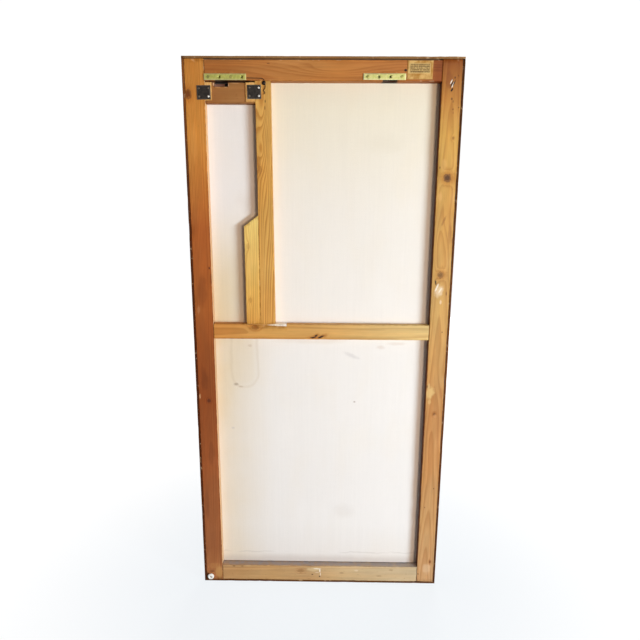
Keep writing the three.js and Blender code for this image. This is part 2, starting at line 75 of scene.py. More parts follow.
class Shader:
    """Builds one procedural material. Each method returns the socket that it made."""

    def __init__(self, name):
        self.material = bpy.data.materials.new(name)
        self.material.use_nodes = True
        self.tree = self.material.node_tree
        self.tree.nodes.clear()
        self.surface = self.node("ShaderNodeBsdfPrincipled")
        self.output = self.node("ShaderNodeOutputMaterial")
        self.tree.links.new(self.surface.outputs[0], self.output.inputs["Surface"])

    def node(self, kind, **settings):
        made = self.tree.nodes.new(kind)
        for key, value in settings.items():
            setattr(made, key, value)
        return made

    def put(self, socket, value):
        if isinstance(value, bpy.types.NodeSocket):
            self.tree.links.new(value, socket)
        else:
            socket.default_value = value

    def calc(self, operation, *values, clamp=False):
        made = self.node("ShaderNodeMath", operation=operation, use_clamp=clamp)
        for socket, value in zip(made.inputs, values):
            self.put(socket, value)
        return made.outputs[0]

    def vector(self, operation, a, b):
        made = self.node("ShaderNodeVectorMath", operation=operation)
        self.put(made.inputs[0], a)
        self.put(made.inputs[3 if operation == "SCALE" else 1], b)
        return made.outputs[0]

    def product(self, first, *others):
        for other in others:
            first = self.calc("MULTIPLY", first, other)
        return first

    def hypotenuse(self, a, b):
        squares = self.calc("ADD", self.product(a, a), self.product(b, b))
        return self.calc("SQRT", squares)

    def join(self, x, y, z):
        made = self.node("ShaderNodeCombineXYZ")
        for socket, value in zip(made.inputs, (x, y, z)):
            self.put(socket, value)
        return made.outputs[0]

    def split(self, vector):
        made = self.node("ShaderNodeSeparateXYZ")
        self.put(made.inputs[0], vector)
        return made.outputs

    def noise(self, vector, stretch=(1, 1, 1), scale=1.0, detail=2.0, rough=0.5):
        made = self.node("ShaderNodeTexNoise")
        self.put(made.inputs["Vector"], self.vector("MULTIPLY", vector, stretch))
        made.inputs["Scale"].default_value = scale
        made.inputs["Detail"].default_value = detail
        made.inputs["Roughness"].default_value = rough
        return made.outputs["Fac"]

    def step(self, value, low, high, out_low=0.0, out_high=1.0):
        """Smooth step from out_low to out_high as value goes from low to high."""
        made = self.node("ShaderNodeMapRange", interpolation_type="SMOOTHSTEP")
        for socket, item in zip(made.inputs, (value, low, high, out_low, out_high)):
            self.put(socket, item)
        return made.outputs[0]

    def band(self, value, low, full, fade, high):
        """1 between full and fade, and smoothly down to 0 at low and high."""
        return self.product(self.step(value, low, full), self.step(value, fade, high, 1.0, 0.0))

    def ramp(self, value, stops):
        made = self.node("ShaderNodeValToRGB")
        self.put(made.inputs[0], value)
        elements = made.color_ramp.elements
        while len(elements) < len(stops):
            elements.new(0.5)
        for element, (position, colour) in zip(elements, stops):
            element.position = position
            element.color = colour
        return made.outputs[0]

    def mix(self, amount, a, b, blend="MIX"):
        made = self.node("ShaderNodeMix", data_type="RGBA", blend_type=blend)
        self.put(made.inputs[0], amount)
        self.put(made.inputs[6], a)
        self.put(made.inputs[7], b)
        return made.outputs[2]

    def attribute(self, name):
        return self.node("ShaderNodeAttribute", attribute_name=name).outputs["Fac"]

    def place(self):
        """Position in the row frame, in metres."""
        return self.node("ShaderNodeTexCoord").outputs["Object"]

    def vary(self, colour, pattern, amount):
        """Darkens and brightens a colour by up to the amount, after a 0..1 pattern."""
        factor = self.calc("MULTIPLY_ADD", pattern, 2 * amount, 1 - amount)
        return self.vector("SCALE", colour, factor)

    def finish(self, colour, roughness, height=None, bump_mm=0.1, bump=0.5, **inputs):
        self.put(self.surface.inputs["Base Color"], colour)
        self.put(self.surface.inputs["Roughness"], roughness)
        for key, value in inputs.items():
            self.put(self.surface.inputs[key.replace("_", " ")], value)
        if height is not None:
            made = self.node("ShaderNodeBump")
            made.inputs["Strength"].default_value = bump
            made.inputs["Distance"].default_value = bump_mm * MM
            self.put(made.inputs["Height"], height)
            self.put(self.surface.inputs["Normal"], made.outputs[0])
        return self.material


# ---------------- wood

LATEWOOD = (0.62, 0.42, 0.27, 1)      # factors that darken the wood below
WARM_CAST = (1.04, 0.98, 0.90, 1)
COOL_CAST = (0.96, 1.0, 1.05, 1)
FLECK = (0.3, 0.2, 0.12, 1)
KNOT_HALO = (0.80, 0.60, 0.40, 1)
EDGE_GRIME = (0.42, 0.3, 0.2, 1)
# painted shade on timber sides that face away from the lamps
PAINTED_SIDE_SHADE = (0.26, 0.13, 0.07, 1)
KNOT_SWIRL = (0.03, 0.012, 0.005, 1)  # colours laid over the wood
KNOT_RIM = (0.1, 0.05, 0.03, 1)
CHIPPED = srgb(222, 190, 150)
# painted light on timber sides that face the lamps
PAINTED_SIDE_LIGHT = srgb(240, 200, 152)
TONE_NEAR_CLOTH = srgb(100, 93, 94)
NAIL_DARK = (60, 34, 20)              # sRGB of nail heads and joint lines


def blot(s, across, length, grain, spot, ragged):
    """Distance from a spot's centre, 1 at its edge. A spot is (across, along, half sizes) in mm,
    and may end with a slant, its sideways run per unit of length. ragged makes its edge uneven."""
    a, l, half_a, half_l, *slant = spot
    beyond = s.calc("SUBTRACT", length, l * MM)
    aside = s.calc("SUBTRACT", across, a * MM)
    if slant:
        aside = s.calc("MULTIPLY_ADD", beyond, -slant[0], aside)
    da = s.calc("DIVIDE", aside, half_a * MM)
    dl = s.calc("DIVIDE", beyond, half_l * MM)
    wobble = s.noise(grain, scale=1.8 / (max(half_a, half_l) * MM), detail=3)
    return s.calc("MULTIPLY_ADD", wobble, 2 * ragged,
                  s.calc("SUBTRACT", s.hypotenuse(da, dl), ragged))


def bell(s, distance, steepness):
    """1 at a spot's centre, falling smoothly to 0 outside it."""
    return s.calc("EXPONENT", s.product(distance, distance, -steepness))


class Board(Shader):
    """Sawn softwood on one timber, in the timber's own coordinates: across, depth and length from
    its lowest corner, in metres. along is the grain's axis."""

    def __init__(self, name, node, along):
        super().__init__(name)
        self.low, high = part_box(node)
        self.size = high - self.low
        x, self.depth, z = self.split(self.vector("SUBTRACT", self.place(), self.low))
        self.across, self.length = (x, z) if along == "Z" else (z, x)
        self.span = self.size.z if along == "Z" else self.size.x
        self.grain = self.join(self.across, self.depth, self.length)
        self.normal = self.split(self.node("ShaderNodeNewGeometry").outputs["Normal"])
        self.patch = self.noise(self.grain, (16, 16, 3.5), detail=2)

    def blot(self, spot, ragged):
        return blot(self, self.across, self.length, self.grain, spot, ragged)

    def from_pith(self, pith, drift, taper):
        """Distance from the heart of the tree, which wanders and tapers along the timber."""
        wander = self.noise(self.join(self.low.x * 31, self.low.z * 17, self.length),
                            (1, 1, 1.5), detail=1)
        warp = self.noise(self.grain, (14, 14, 2.4), detail=2)
        heart = self.calc("MULTIPLY_ADD", wander, 2 * drift * MM, (pith[0] - drift) * MM)
        du = self.calc("SUBTRACT", self.across, heart)
        dv = self.calc("SUBTRACT", self.depth, pith[1] * MM)
        reach = self.calc("ADD", self.hypotenuse(du, dv), self.product(self.length, taper))
        return self.calc("MULTIPLY_ADD", warp, 6 * MM, reach)

    def latewood(self, reach, ring):
        """The dark part of each growth ring, 0 to 1, with a slow rise and a sharp end."""
        beat = self.noise(self.join(reach, self.low.x, self.low.z), (90, 1, 1), detail=1)
        turns = self.calc("ADD", self.calc("DIVIDE", reach, ring * MM),
                          self.product(beat, 1.6))
        return self.band(self.calc("FRACT", turns), 0.3, 0.88, 0.9, 1.0)

    def sawn_face(self, tones, latewood, late, fibre, flecks):
        """The tones down the timber with rings, fibre, streaks, mottling and dark flecks."""
        streak = self.noise(self.grain, (210, 210, 3.2), detail=2)
        mottle = self.noise(self.grain, (46, 46, 13), detail=3)
        share = self.calc("DIVIDE", self.length, self.span)
        colour = self.ramp(share, [(place, srgb(*tone)) for place, tone in tones])
        colour = self.vector("SCALE", colour, 1.06)
        colour = self.mix(self.product(latewood, late), colour, LATEWOOD, "MULTIPLY")
        colour = self.vary(colour, fibre, 0.17)
        colour = self.vary(colour, streak, 0.16)
        cast = self.mix(self.step(self.patch, 0.3, 0.7), WARM_CAST, COOL_CAST)
        colour = self.mix(1.0, colour, cast, "MULTIPLY")
        colour = self.vary(colour, mottle, 0.16)
        fleck = self.noise(self.grain, (420, 420, 60), detail=1)
        return self.mix(self.step(fleck, flecks, flecks + 0.06, 0.0, 0.5), colour, FLECK,
                        "MULTIPLY")

    def knot(self, colour, d, tone, strength):
        """A swirled heart, a dark rim and a halo, from the distance d to the knot's centre."""
        halo = self.step(d, 0.8, 2.8, 0.75 * strength, 0.0)
        colour = self.mix(halo, colour, KNOT_HALO, "MULTIPLY")
        swirl = self.calc("FRACT", self.product(d, 2.7))
        heart = self.mix(self.step(swirl, 0.2, 0.9, 0.0, 0.6), srgb(*tone), KNOT_SWIRL)
        colour = self.mix(self.step(d, 0.5, 1.2, strength, 0.0), colour, heart)
        rim = self.product(self.band(d, 0.8, 1.0, 1.0, 1.25), 0.6 * strength)
        return self.mix(rim, colour, KNOT_RIM)

    def stain(self, colour, spot, tone, strength):
        # Lays a tone over a spot: stains, and on the top rail also painted shadows.
        d = self.blot(spot, 0.45)
        return self.mix(self.step(d, 0.5, 1.1, strength, 0.0), colour, srgb(*tone))

    def pit(self, colour, spot, tone, strength):
        """Painted shade: a tone on the floor of a recess in the rear face, but not on the face
        itself.
        """
        d = self.blot(spot, 0.1)
        below = self.step(self.depth, 2.0 * MM, 3.0 * MM)
        sunk = self.product(below, self.step(d, 0.8, 1.1, strength, 0.0))
        return self.mix(sunk, colour, srgb(*tone))

    def worn_edges(self, colour, arris, edge, chips):
        """Grime and pale chips along the arrises."""
        worn = self.noise(self.place(), (1, 1, 1), scale=70, detail=3)
        grime = self.product(arris, self.step(worn, 0.35, 0.6, edge, 0.1))
        colour = self.mix(grime, colour, EDGE_GRIME, "MULTIPLY")
        chip = self.product(arris, self.step(worn, 0.62, 0.68, 0.0, chips))
        return self.mix(chip, colour, CHIPPED)

    def dusty(self, colour, dust):
        """Dust on whatever faces up, and a darker tone towards the cloth."""
        lying = self.step(self.normal[2], 0.6, 0.95)
        inwards = self.calc("DIVIDE", self.depth, self.size.y)
        patchy = self.noise(self.place(), scale=60, detail=3)
        settled = self.calc("MULTIPLY", self.product(patchy, 1.3),
                            self.step(inwards, 0.0, 0.5, 0.55, 1.2), clamp=True)
        face_tone = self.mix(self.step(inwards, 0.55, 1.0, 0.0, 0.75), srgb(*dust), TONE_NEAR_CLOTH)
        return self.mix(self.product(lying, settled), colour, face_tone)


def wood(name, node, along, tones, ring=3.2, pith=(28, 40), taper=0.012, late=0.34, drift=9.0,
         knots=(), figures=(), marks=(), pits=(), dust=None, roughness=0.56, edge=0.5,
         chips=0.35, flecks=0.74, shaded=0.0, bleached=0.0):
    """Sawn softwood cut from round growth rings.

    tones are (share of length, sRGB) down the piece. ring is the ring spacing, pith the heart's
    (across, depth) place and drift its wander, all in mm. knots are ((across, along, half across,
    half along), sRGB, strength), marks are the same for stains and for painted shadows, pits are
    the same for painted shade on the floors of recesses in the rear face, and figures are places
    of the same form that the rings bend round, with the bend in mm. late is how dark the rings
    are, edge how grimy and chips how chipped the arrises are, and flecks the level of noise above
    which a dark fleck shows. dust is the sRGB of dust on the upper side, where the tone turns
    darker towards the cloth. The last two arguments set a painted shade on the side that faces -X
    and a painted light on the side that faces +X.
    """
    s = Board(name, node, along)
    reach = s.from_pith(pith, drift, taper)
    knot_distances = []
    for spot, _, _ in knots:
        d = s.blot(spot, 0.5)
        reach = s.calc("MULTIPLY_ADD", bell(s, d, 0.25), spot[2] * 0.9 * MM, reach)
        knot_distances.append(d)
    for spot, bend in figures:
        reach = s.calc("MULTIPLY_ADD", bell(s, s.blot(spot, 0.1), 0.5), bend * MM, reach)
    latewood = s.latewood(reach, ring)
    fibre = s.noise(s.grain, (1100, 1100, 22), detail=3, rough=0.6)

    colour = s.sawn_face(tones, latewood, late, fibre, flecks)
    for d, (spot, tone, strength) in zip(knot_distances, knots):
        colour = s.knot(colour, d, tone, strength)
    for mark in marks:
        colour = s.stain(colour, *mark)
    for pit in pits:
        colour = s.pit(colour, *pit)
    arris = s.attribute("arris")
    colour = s.worn_edges(colour, arris, edge, chips)
    # Painted shade on the side that faces -X, away from the lamps on the right.
    if shaded:
        facing = s.step(s.normal[0], -0.95, -0.6, shaded, 0.0)
        colour = s.mix(facing, colour, PAINTED_SIDE_SHADE, "MULTIPLY")
    # Painted light on the side that faces +X, towards the lamps.
    if bleached:
        facing = s.step(s.normal[0], 0.8, 0.98, 0.0, bleached)
        colour = s.mix(facing, colour, PAINTED_SIDE_LIGHT)
    if dust:
        colour = s.dusty(colour, dust)

    height = s.calc("ADD", s.product(latewood, 0.5), fibre)
    gloss = s.calc("MULTIPLY_ADD", s.patch, 0.16, roughness - 0.08)
    shine = s.calc("MULTIPLY_ADD", arris, -0.22, 0.25)
    return s.finish(colour, gloss, height, bump_mm=0.12, bump=0.55, Specular_IOR_Level=shine)


# ---------------- timber meshes

WELD = 0.002            # CAD vertices closer than this are one, mm
FLAT_ANGLE = 0.4        # CAD faces that meet at less are one, degrees
ARRIS_ANGLE = 0.6       # edges flatter than this aren't rounded, radians
EDGE_LOOP = 2.6         # from a timber's edge to the loop beside it, mm
SHORTEST_ARRIS = 9      # shorter CAD edges of timbers stay sharp, mm
PLATE_HOLE_PITCH = 32   # between the holes of the hanging plates, mm


def cad_copy(node):
    """The CAD node's mesh with its coplanar triangles joined into whole faces."""
    bm = bmesh.new()
    bm.from_mesh(NODES[node].data)
    bmesh.ops.remove_doubles(bm, verts=bm.verts, dist=WELD * MM)
    bmesh.ops.dissolve_limit(bm, angle_limit=math.radians(FLAT_ANGLE), verts=bm.verts,
                             edges=bm.edges)
    return bm


def cut_across(bm, axis, places, lean=0.0):
    """Adds an edge loop at each place along an axis, so that long faces can bend and wear. Loops
    across X follow the lean of the piece."""
    along = Vector([1.0 if i == axis else 0.0 for i in range(3)])
    normal = along - Vector((0, 0, lean)) if axis == 0 else along
    for place in places:
        everything = bm.verts[:] + bm.edges[:] + bm.faces[:]
        bmesh.ops.bisect_plane(bm, geom=everything, dist=1e-7, plane_co=along * place,
                               plane_no=normal)


def lean_of(node):
    """Sideways run per unit of height of a node's left edge, taken on its rear face."""
    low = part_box(node)[0]
    rear = [v.co for v in NODES[node].data.vertices if v.co.y < low.y + 0.1 * MM]
    foot, head = min(p.z for p in rear), max(p.z for p in rear)
    at_foot = min(p.x for p in rear if p.z < foot + MM)
    at_head = min(p.x for p in rear if p.z > head - MM)
    return (at_head - at_foot) / (head - foot)


def stations(low, high, spacing):
    """Even places between two ends, without the ends."""
    count = max(2, round((high - low) / spacing))
    return [low + (high - low) * i / count for i in range(1, count)]


def soften(bm, offset, shortest):
    """Rounds the long outer edges and marks the faces that this makes."""
    layer = bm.faces.layers.int.new("rounded")
    edges = [e for e in bm.edges if len(e.link_faces) == 2 and e.is_convex
             and e.calc_face_angle() > ARRIS_ANGLE and e.calc_length() > shortest]
    made = bmesh.ops.bevel(bm, geom=edges, offset=offset, offset_type="OFFSET", segments=3,
                           profile=0.5, affect="EDGES", clamp_overlap=False, loop_slide=True)
    for face in made["faces"]:
        face[layer] = 1


def wear(bm, unevenness, dent):
    """Slight unevenness of a sawn face, and dents along the arrises, which get an attribute for
    the wear in the material."""
    bm.normal_update()
    layer = bm.verts.layers.float.new("arris")
    rounded = bm.faces.layers.int["rounded"]
    for face in bm.faces:
        if face[rounded]:
            for vert in face.verts:
                vert[layer] = 1.0
    moves = []
    for vert in bm.verts:
        p = vert.co
        rise = unevenness * noise.noise(p * 26) + 0.4 * unevenness * noise.noise(p * 90)
        bruise = max(0.0, noise.noise(p * 41 + Vector((7, 3, 1))) - 0.22)
        moves.append((vert, vert.normal * (rise - vert[layer] * dent * bruise * 2.2)))
    for vert, move in moves:
        vert.co += move


def show(name, bm, material, nodes, sharp=50):
    """Turns the mesh into a piece that stands for CAD nodes and rides on the one body."""
    bmesh.ops.recalc_face_normals(bm, faces=bm.faces)
    mesh = bpy.data.meshes.new(name)
    bm.to_mesh(mesh)
    bm.free()
    mesh.shade_smooth()
    mesh.set_sharp_from_angle(angle=math.radians(sharp))
    mesh.materials.append(material)
    piece = bpy.data.objects.new(name, mesh)
    bpy.context.scene.collection.objects.link(piece)
    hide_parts(*nodes)
    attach(piece, "root")
    return piece


def timber(node, along, material, slot, offset=0.9, spacing=12, unevenness=0.07, dent=0.9,
           lean=0.0):
    """A worn timber from its CAD node. The sizes are in mm, and lean is its run per height."""
    low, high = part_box(node)
    main = "XYZ".index(along)
    bm = cad_copy(node)
    soften(bm, offset * MM, SHORTEST_ARRIS * MM)
    edge = EDGE_LOOP * MM
    for axis in range(3):
        upright = [v.co[axis] - (lean * v.co.z if axis == 0 else 0.0) for v in bm.verts]
        near, far = min(upright), max(upright)
        if axis != main and far - near > 3 * edge:
            cut_across(bm, axis, [near + edge, (near + far) / 2, far - edge], lean)
    cut_across(bm, main, stations(low[main], high[main], spacing * MM))
    wear(bm, unevenness * MM, dent * MM)
    show(node + "_timber", bm, material, [node])


def board(node, along, slot, tones, name=None, shape=None, **look):
    """A timber and its wood. shape holds settings of timber(), and look those of wood()."""
    material = wood(name or slot, node, along, tones, **look)
    timber(node, along, material, slot, **(shape or {}))


def open_holes():
    """Places in mm on the top rail behind the hanging plates' unused holes, as (along, across).
    The four holes of a plate count from 0 at its left."""
    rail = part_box("top_rail")[0]
    places = []
    for side, unused in (("left", (1, 3)), ("right", (1, 2))):
        low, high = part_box("hanging_plate_" + side)
        middle = ((low + high) / 2 - rail) / MM
        for hole in unused:
            places.append((middle.x + (hole - 1.5) * PLATE_HOLE_PITCH, middle.z))
    return places


def seams(node):
    """Dark joint lines where a cross member meets the two stiles."""
    low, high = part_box(node)
    middle = (high.z - low.z) / MM / 2
    places = [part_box("left_stile")[1].x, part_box("right_stile")[0].x]
    return [((middle, (x - low.x) / MM, 60, 1.6), NAIL_DARK, 0.85) for x in places]


def build_left_stile():
    board(
        "left_stile", "Z", "left_stile_wood",
        [(0.0, (172, 115, 72)), (0.08, (158, 97, 58)), (0.25, (157, 89, 47)),
         (0.40, (145, 75, 33)), (0.50, (151, 81, 36)), (0.57, (167, 93, 41)),
         (0.72, (173, 97, 44)), (0.88, (212, 144, 65)), (1.0, (192, 128, 56))],
        ring=3.6, pith=(70, 30), taper=0.006, late=0.46, edge=0.8, bleached=0.6,
        knots=[((8, 1581, 9, 12), (112, 54, 22), 0.85), ((33, 657, 6, 6), (84, 40, 20), 0.75),
               ((50, 1085, 2, 3), (50, 26, 14), 0.9)],
        marks=[((4, 672, 2.4, 11), (232, 176, 126), 0.85), ((12, 955, 5, 16), (190, 130, 84), 0.5),
               ((20, 730, 14, 40), (104, 50, 22), 0.4), ((34, 470, 12, 50), (112, 60, 30), 0.35),
               ((26, 1010, 16, 60), (120, 56, 22), 0.35), ((12, 300, 8, 70), (118, 66, 36), 0.35),
               ((20, 1450, 10, 60), (224, 156, 78), 0.35), ((54, 1052, 4, 20), (120, 60, 26), 0.5),
               ((44, 28, 14, 34), (200, 152, 90), 0.6), ((24, 52, 18, 14), (190, 132, 78), 0.45),
               ((19, 30.5, 11, 3.5), (92, 50, 28), 0.6), ((3, 8, 7, 22), (44, 24, 14), 0.8)],
    )


def build_right_stile():
    # Pale scraped wood with a dark nick, above the middle.
    scrape = [
        ((24, 1018, 15, 20, 0.2), (238, 214, 180), 0.6),
        ((16, 1030, 4, 14, 0.4), (250, 240, 222), 0.7),
        ((27, 1022, 3, 10, 0.5), (250, 240, 222), 0.6),
        ((12, 1045, 2.2, 10, -0.15), (30, 18, 12), 1.0), ((30, 985, 4, 8), (238, 214, 180), 0.6),
        ((46, 1012, 2, 8), (96, 60, 34), 0.7),
    ]
    # Stains, streaks and nail heads all the way up.
    blotches = [
        ((46, 1190, 6, 40), (156, 100, 50), 0.4), ((26, 1230, 4, 18, 0.4), (140, 84, 40), 0.5),
        ((12, 1300, 8, 16), (224, 172, 104), 0.4), ((18, 1390, 10, 20), (226, 178, 108), 0.35),
        ((13, 690, 15, 22, 0.2), (236, 206, 138), 0.5), ((8, 712, 4, 14), (232, 200, 140), 0.5),
        ((12, 660, 6, 10), (224, 184, 120), 0.5), ((3, 712, 3, 6), (110, 70, 40), 0.7),
        ((32, 612, 7, 7), (214, 160, 104), 0.5), ((48, 690, 8, 20), (176, 112, 62), 0.35),
        ((32, 51, 16, 24), (222, 188, 150), 0.5), ((42, 355, 2, 3), NAIL_DARK, 0.8),
        ((4, 30, 2.5, 4), (96, 60, 36), 0.8), ((15, 285, 2, 3), (110, 66, 40), 0.8),
        ((40, 890, 2, 3), (110, 66, 40), 0.8), ((55, 1174, 2, 10), (130, 78, 40), 0.7),
        ((6, 1383, 3, 4), (120, 72, 36), 0.7),
    ]
    # Twisted white and dark marks near the head.
    scars = [
        ((20, 1622, 13, 26), (132, 72, 34), 0.55), ((36, 1627, 3, 4), (96, 54, 28), 0.8),
        ((26, 1616, 2.0, 7, 0.45), (244, 236, 220), 0.9),
        ((31, 1608, 2.0, 9, 0.45), (244, 236, 220), 0.9),
        ((27.5, 1609, 2.2, 11, 0.45), (24, 14, 10), 1.0),
        ((34.5, 1613, 1.9, 9, 0.45), (40, 24, 14), 1.0),
        ((29, 1595, 3.4, 6, 0.45), (18, 10, 8), 1.0), ((30, 1571, 3.4, 4), (104, 66, 34), 0.8),
        ((34, 1564, 1.5, 4), (90, 56, 30), 0.8), ((35, 1543, 2.5, 3), (120, 66, 34), 0.85),
        ((36, 1534, 2, 4), (140, 84, 46), 0.6),
    ]
    board(
        "right_stile", "Z", "right_stile_wood",
        [(0.0, (194, 152, 108)), (0.13, (194, 148, 96)), (0.36, (190, 134, 78)),
         (0.55, (198, 154, 89)), (0.75, (194, 147, 76)), (0.88, (206, 160, 80)),
         (0.94, (180, 122, 55)), (1.0, (132, 72, 28))],
        ring=4.2, pith=(30, 46), taper=0.02, late=0.42, shaded=1.0,
        figures=[((40, 1240, 12, 50), 4), ((14, 1160, 10, 44), -3), ((44, 760, 12, 50), 4),
                 ((20, 520, 10, 60), -3)],
        knots=[((30, 1354, 10, 11), (88, 54, 30), 0.95), ((25, 1069, 8, 9), (132, 90, 46), 0.85),
               ((30, 618, 4, 5), (120, 74, 40), 0.8), ((40, 1465, 3, 4), (170, 110, 60), 0.7),
               ((43, 78, 3, 6), (120, 62, 36), 0.8)],
        marks=scrape + blotches + scars,
    )


def build_top_rail():
    board(
        "top_rail", "X", "top_rail_wood",
        [(0.0, (163, 100, 48)), (0.15, (169, 107, 52)), (0.3, (180, 118, 60)),
         (0.55, (183, 121, 60)), (0.84, (176, 108, 52)), (0.91, (136, 70, 28)),
         (1.0, (126, 60, 22))],
        ring=3.0, pith=(10, 60), taper=0.01, late=0.38,
        # The dark marks at 103 and 150 along the bottom edge are painted shadow in the slit under
        # the left hanging plate, the dark spots behind the unused plate holes are painted shade in
        # those holes, and the pits are painted shade in the hook pockets.
        marks=[((29, 626, 4, 5), (16, 8, 6), 1.0), ((50, 300, 10, 60), (206, 146, 84), 0.35),
               ((0, 103, 3.5, 22), (22, 12, 8), 0.95), ((0, 150, 1.6, 60), (40, 22, 12), 0.8),
               ((46, 239, 1.5, 5), (70, 38, 20), 0.8)] + seams("top_rail")
        + [((hole_z, hole_x, 3.2, 3.2), (24, 16, 12), 1.0) for hole_x, hole_z in open_holes()],
        figures=[((30, 420, 12, 90), 9)],
        pits=[((6, 103, 12, 24), (40, 24, 14), 0.9), ((6, 583, 12, 27), (34, 18, 10), 0.95)],
    )


def build_bottom_rail():
    board(
        "bottom_rail", "X", "bottom_rail_wood",
        [(0.0, (190, 148, 102)), (0.3, (195, 156, 106)), (0.45, (193, 156, 110)),
         (0.6, (203, 176, 134)), (1.0, (203, 180, 144))],
        ring=3.4, pith=(66, 40), taper=0.008, late=0.36, dust=(168, 159, 158), flecks=0.68,
        knots=[((37, 328, 6, 9), (164, 120, 76), 0.5)],
        marks=[((42, 372, 9, 28), (226, 202, 156), 0.5), ((45, 384, 1.8, 15), (248, 238, 220), 0.85),
               ((38, 394, 8, 2.4), (250, 242, 228), 0.9), ((24, 396, 7, 1.8), (244, 232, 214), 0.8),
               ((31, 384, 2, 8), (238, 220, 190), 0.6), ((15.5, 393, 3, 3), (16, 8, 6), 1.0),
               ((22.5, 368, 2.4, 4), (60, 36, 22), 0.85),
               ((52, 96, 3, 6), (110, 74, 44), 0.7), ((52, 125, 3, 6), (120, 84, 50), 0.6),
               ((30, 470, 3, 10), (150, 116, 84), 0.6), ((40, 520, 4, 8), (226, 206, 176), 0.6),
               ((20, 600, 3, 12), (160, 126, 92), 0.6), ((44, 640, 3, 9), (156, 122, 90), 0.6)]
        + seams("bottom_rail"),
    )


def build_cross_bar():
    board(
        "cross_bar", "X", "cross_bar_wood",
        [(0.0, (203, 137, 68)), (0.3, (208, 154, 82)), (0.45, (206, 155, 86)),
         (0.6, (208, 166, 101)), (1.0, (219, 187, 123))],
        ring=5.2, pith=(24, 60), taper=0.004, late=0.40,
        marks=seams("cross_bar"),
        knots=[((37, 187, 7, 10), (176, 106, 50), 0.7), ((6, 368, 2.6, 9, 0.1), (44, 22, 12), 1.0),
               ((12, 377, 3.2, 5, 0.4), (36, 18, 10), 1.0),
               ((8, 392, 3.4, 10, 0.4), (32, 16, 10), 1.0)],
    )


def build_inner_upright():
    board(
        "inner_upright", "Z", "upright_wood",
        [(0.0, (214, 160, 84)), (0.25, (216, 166, 88)), (0.5, (211, 159, 80)),
         (1.0, (212, 161, 83))],
        ring=4.6, pith=(60, 34), taper=0.02, late=0.72, drift=5, shaded=0.8,
        figures=[((25, 700, 15, 120), 30), ((17, 525, 8, 26), 8), ((34, 380, 8, 90), 7)],
        knots=[((10, 475, 6, 10), (190, 126, 60), 0.45)],
        marks=[((29, 663, 2, 5), NAIL_DARK, 0.7), ((28, 645, 2, 7), (110, 66, 34), 0.6)],
        shape={"lean": lean_of("inner_upright")},
    )


def build_angled_stiffener():
    board(
        "angled_stiffener", "Z", "stiffener_wood",
        [(0.0, (214, 158, 78)), (0.3, (229, 183, 96)), (0.6, (232, 190, 106)),
         (1.0, (242, 210, 122))],
        ring=5.0, pith=(74, 50), taper=0.01, late=0.48, drift=4, shaded=0.8,
        figures=[((16, 250, 10, 60), 6), ((12, 130, 8, 50), 4)],
        knots=[((11, 240, 4, 8), (214, 156, 80), 0.4), ((15, 75, 4, 7), (206, 146, 74), 0.4)],
        shape={"spacing": 10, "lean": lean_of("inner_upright")},
    )


def build_short_rail():
    board(
        "short_rail", "X", "short_rail_wood",
        [(0.0, (154, 101, 54)), (0.5, (160, 111, 62)), (1.0, (166, 115, 65))],
        ring=2.6, pith=(90, 20), taper=0.02, late=0.42, roughness=0.62, chips=0.0, flecks=0.68,
        marks=[((51, 25.4, 5, 1.8), (228, 188, 150), 0.85), ((43, 38, 1.6, 9), (204, 148, 96), 0.75),
               ((43, 60, 1.4, 5), (200, 156, 110), 0.7), ((50, 68, 5.5, 1.6), (214, 172, 138), 0.8),
               ((54, 86, 1.3, 16), (208, 158, 112), 0.7)],
        # The pits are painted shade on the floor of the notch, darkest at its right end.
        pits=[((51, 42, 14, 28), (132, 94, 78), 1.0), ((51, 61, 15, 7), (8, 6, 6), 1.0)],
        shape={"spacing": 8},
    )


def build_shims():
    for node in ("shim_left", "shim_right"):
        board(node, "Z", "shim_wood", [(0.0, (214, 164, 96)), (1.0, (226, 180, 112))],
              node + "_wood", {"offset": 0.4, "spacing": 6, "dent": 0.5}, ring=3.0, late=0.3)


def build_wedge():
    """Its right part is a fresh, pale split."""
    board(
        "tightening_wedge", "X", "wedge_wood",
        [(0.0, (200, 146, 80)), (0.55, (206, 154, 88)), (0.68, (250, 238, 216)),
         (1.0, (252, 247, 240))],
        ring=2.0, late=0.15, shape={"offset": 0.3, "spacing": 5, "dent": 0.8})


def build_strips():
    tones = {
        "top": [(0.0, (140, 104, 66)), (0.5, (150, 112, 70)), (1.0, (140, 104, 66))],
        "bottom": [(0.0, (104, 66, 38)), (1.0, (98, 68, 46))],
        "left": [(0.0, (90, 48, 26)), (0.5, (78, 36, 16)), (0.8, (92, 52, 30)),
                 (1.0, (136, 84, 44))],
        "right": [(0.0, (84, 50, 30)), (0.5, (110, 66, 32)), (1.0, (72, 42, 20))],
    }
    for side, shades in tones.items():
        node = "edge_strip_" + side
        along = "Z" if side in ("left", "right") else "X"
        board(node, along, "edge_strip_wood", shades, node + "_wood",
              {"offset": 0.7, "unevenness": 0.05, "dent": 0.8},
              ring=2.2, pith=(3, 60), late=0.3, drift=3, roughness=0.46, edge=0.15)


# ---------------- cloth

CLOTH_SHEET = 0.6      # thickness of the visible sheet, mm
CLOTH_STEP = 8.0       # spacing of its grid, mm
CLOTH_MARGIN = 58      # width of the border that lies on the timbers, mm
BELLY = 1.3            # height of the middle of the open cloth, mm
EDGE_WAVE = 0.35       # of the ripples near its edges
SLACK = 0.5            # and of its slow unevenness
FLAP_ROWS = (0.12, 0.35, 0.6, 0.85, 1.0)   # places down the turned edge, as shares of it
FLAP_SHORT = {"right": 1.0, "left": 4.5, "top": 9.0, "bottom": 3.0}  # of the rear side, mm
WARP_PITCH = 0.62      # between threads, mm
WEFT_PITCH = 0.7
CREAM_CAST = (1.0, 0.975, 0.93, 1)    # factors that warm the cloth in patches


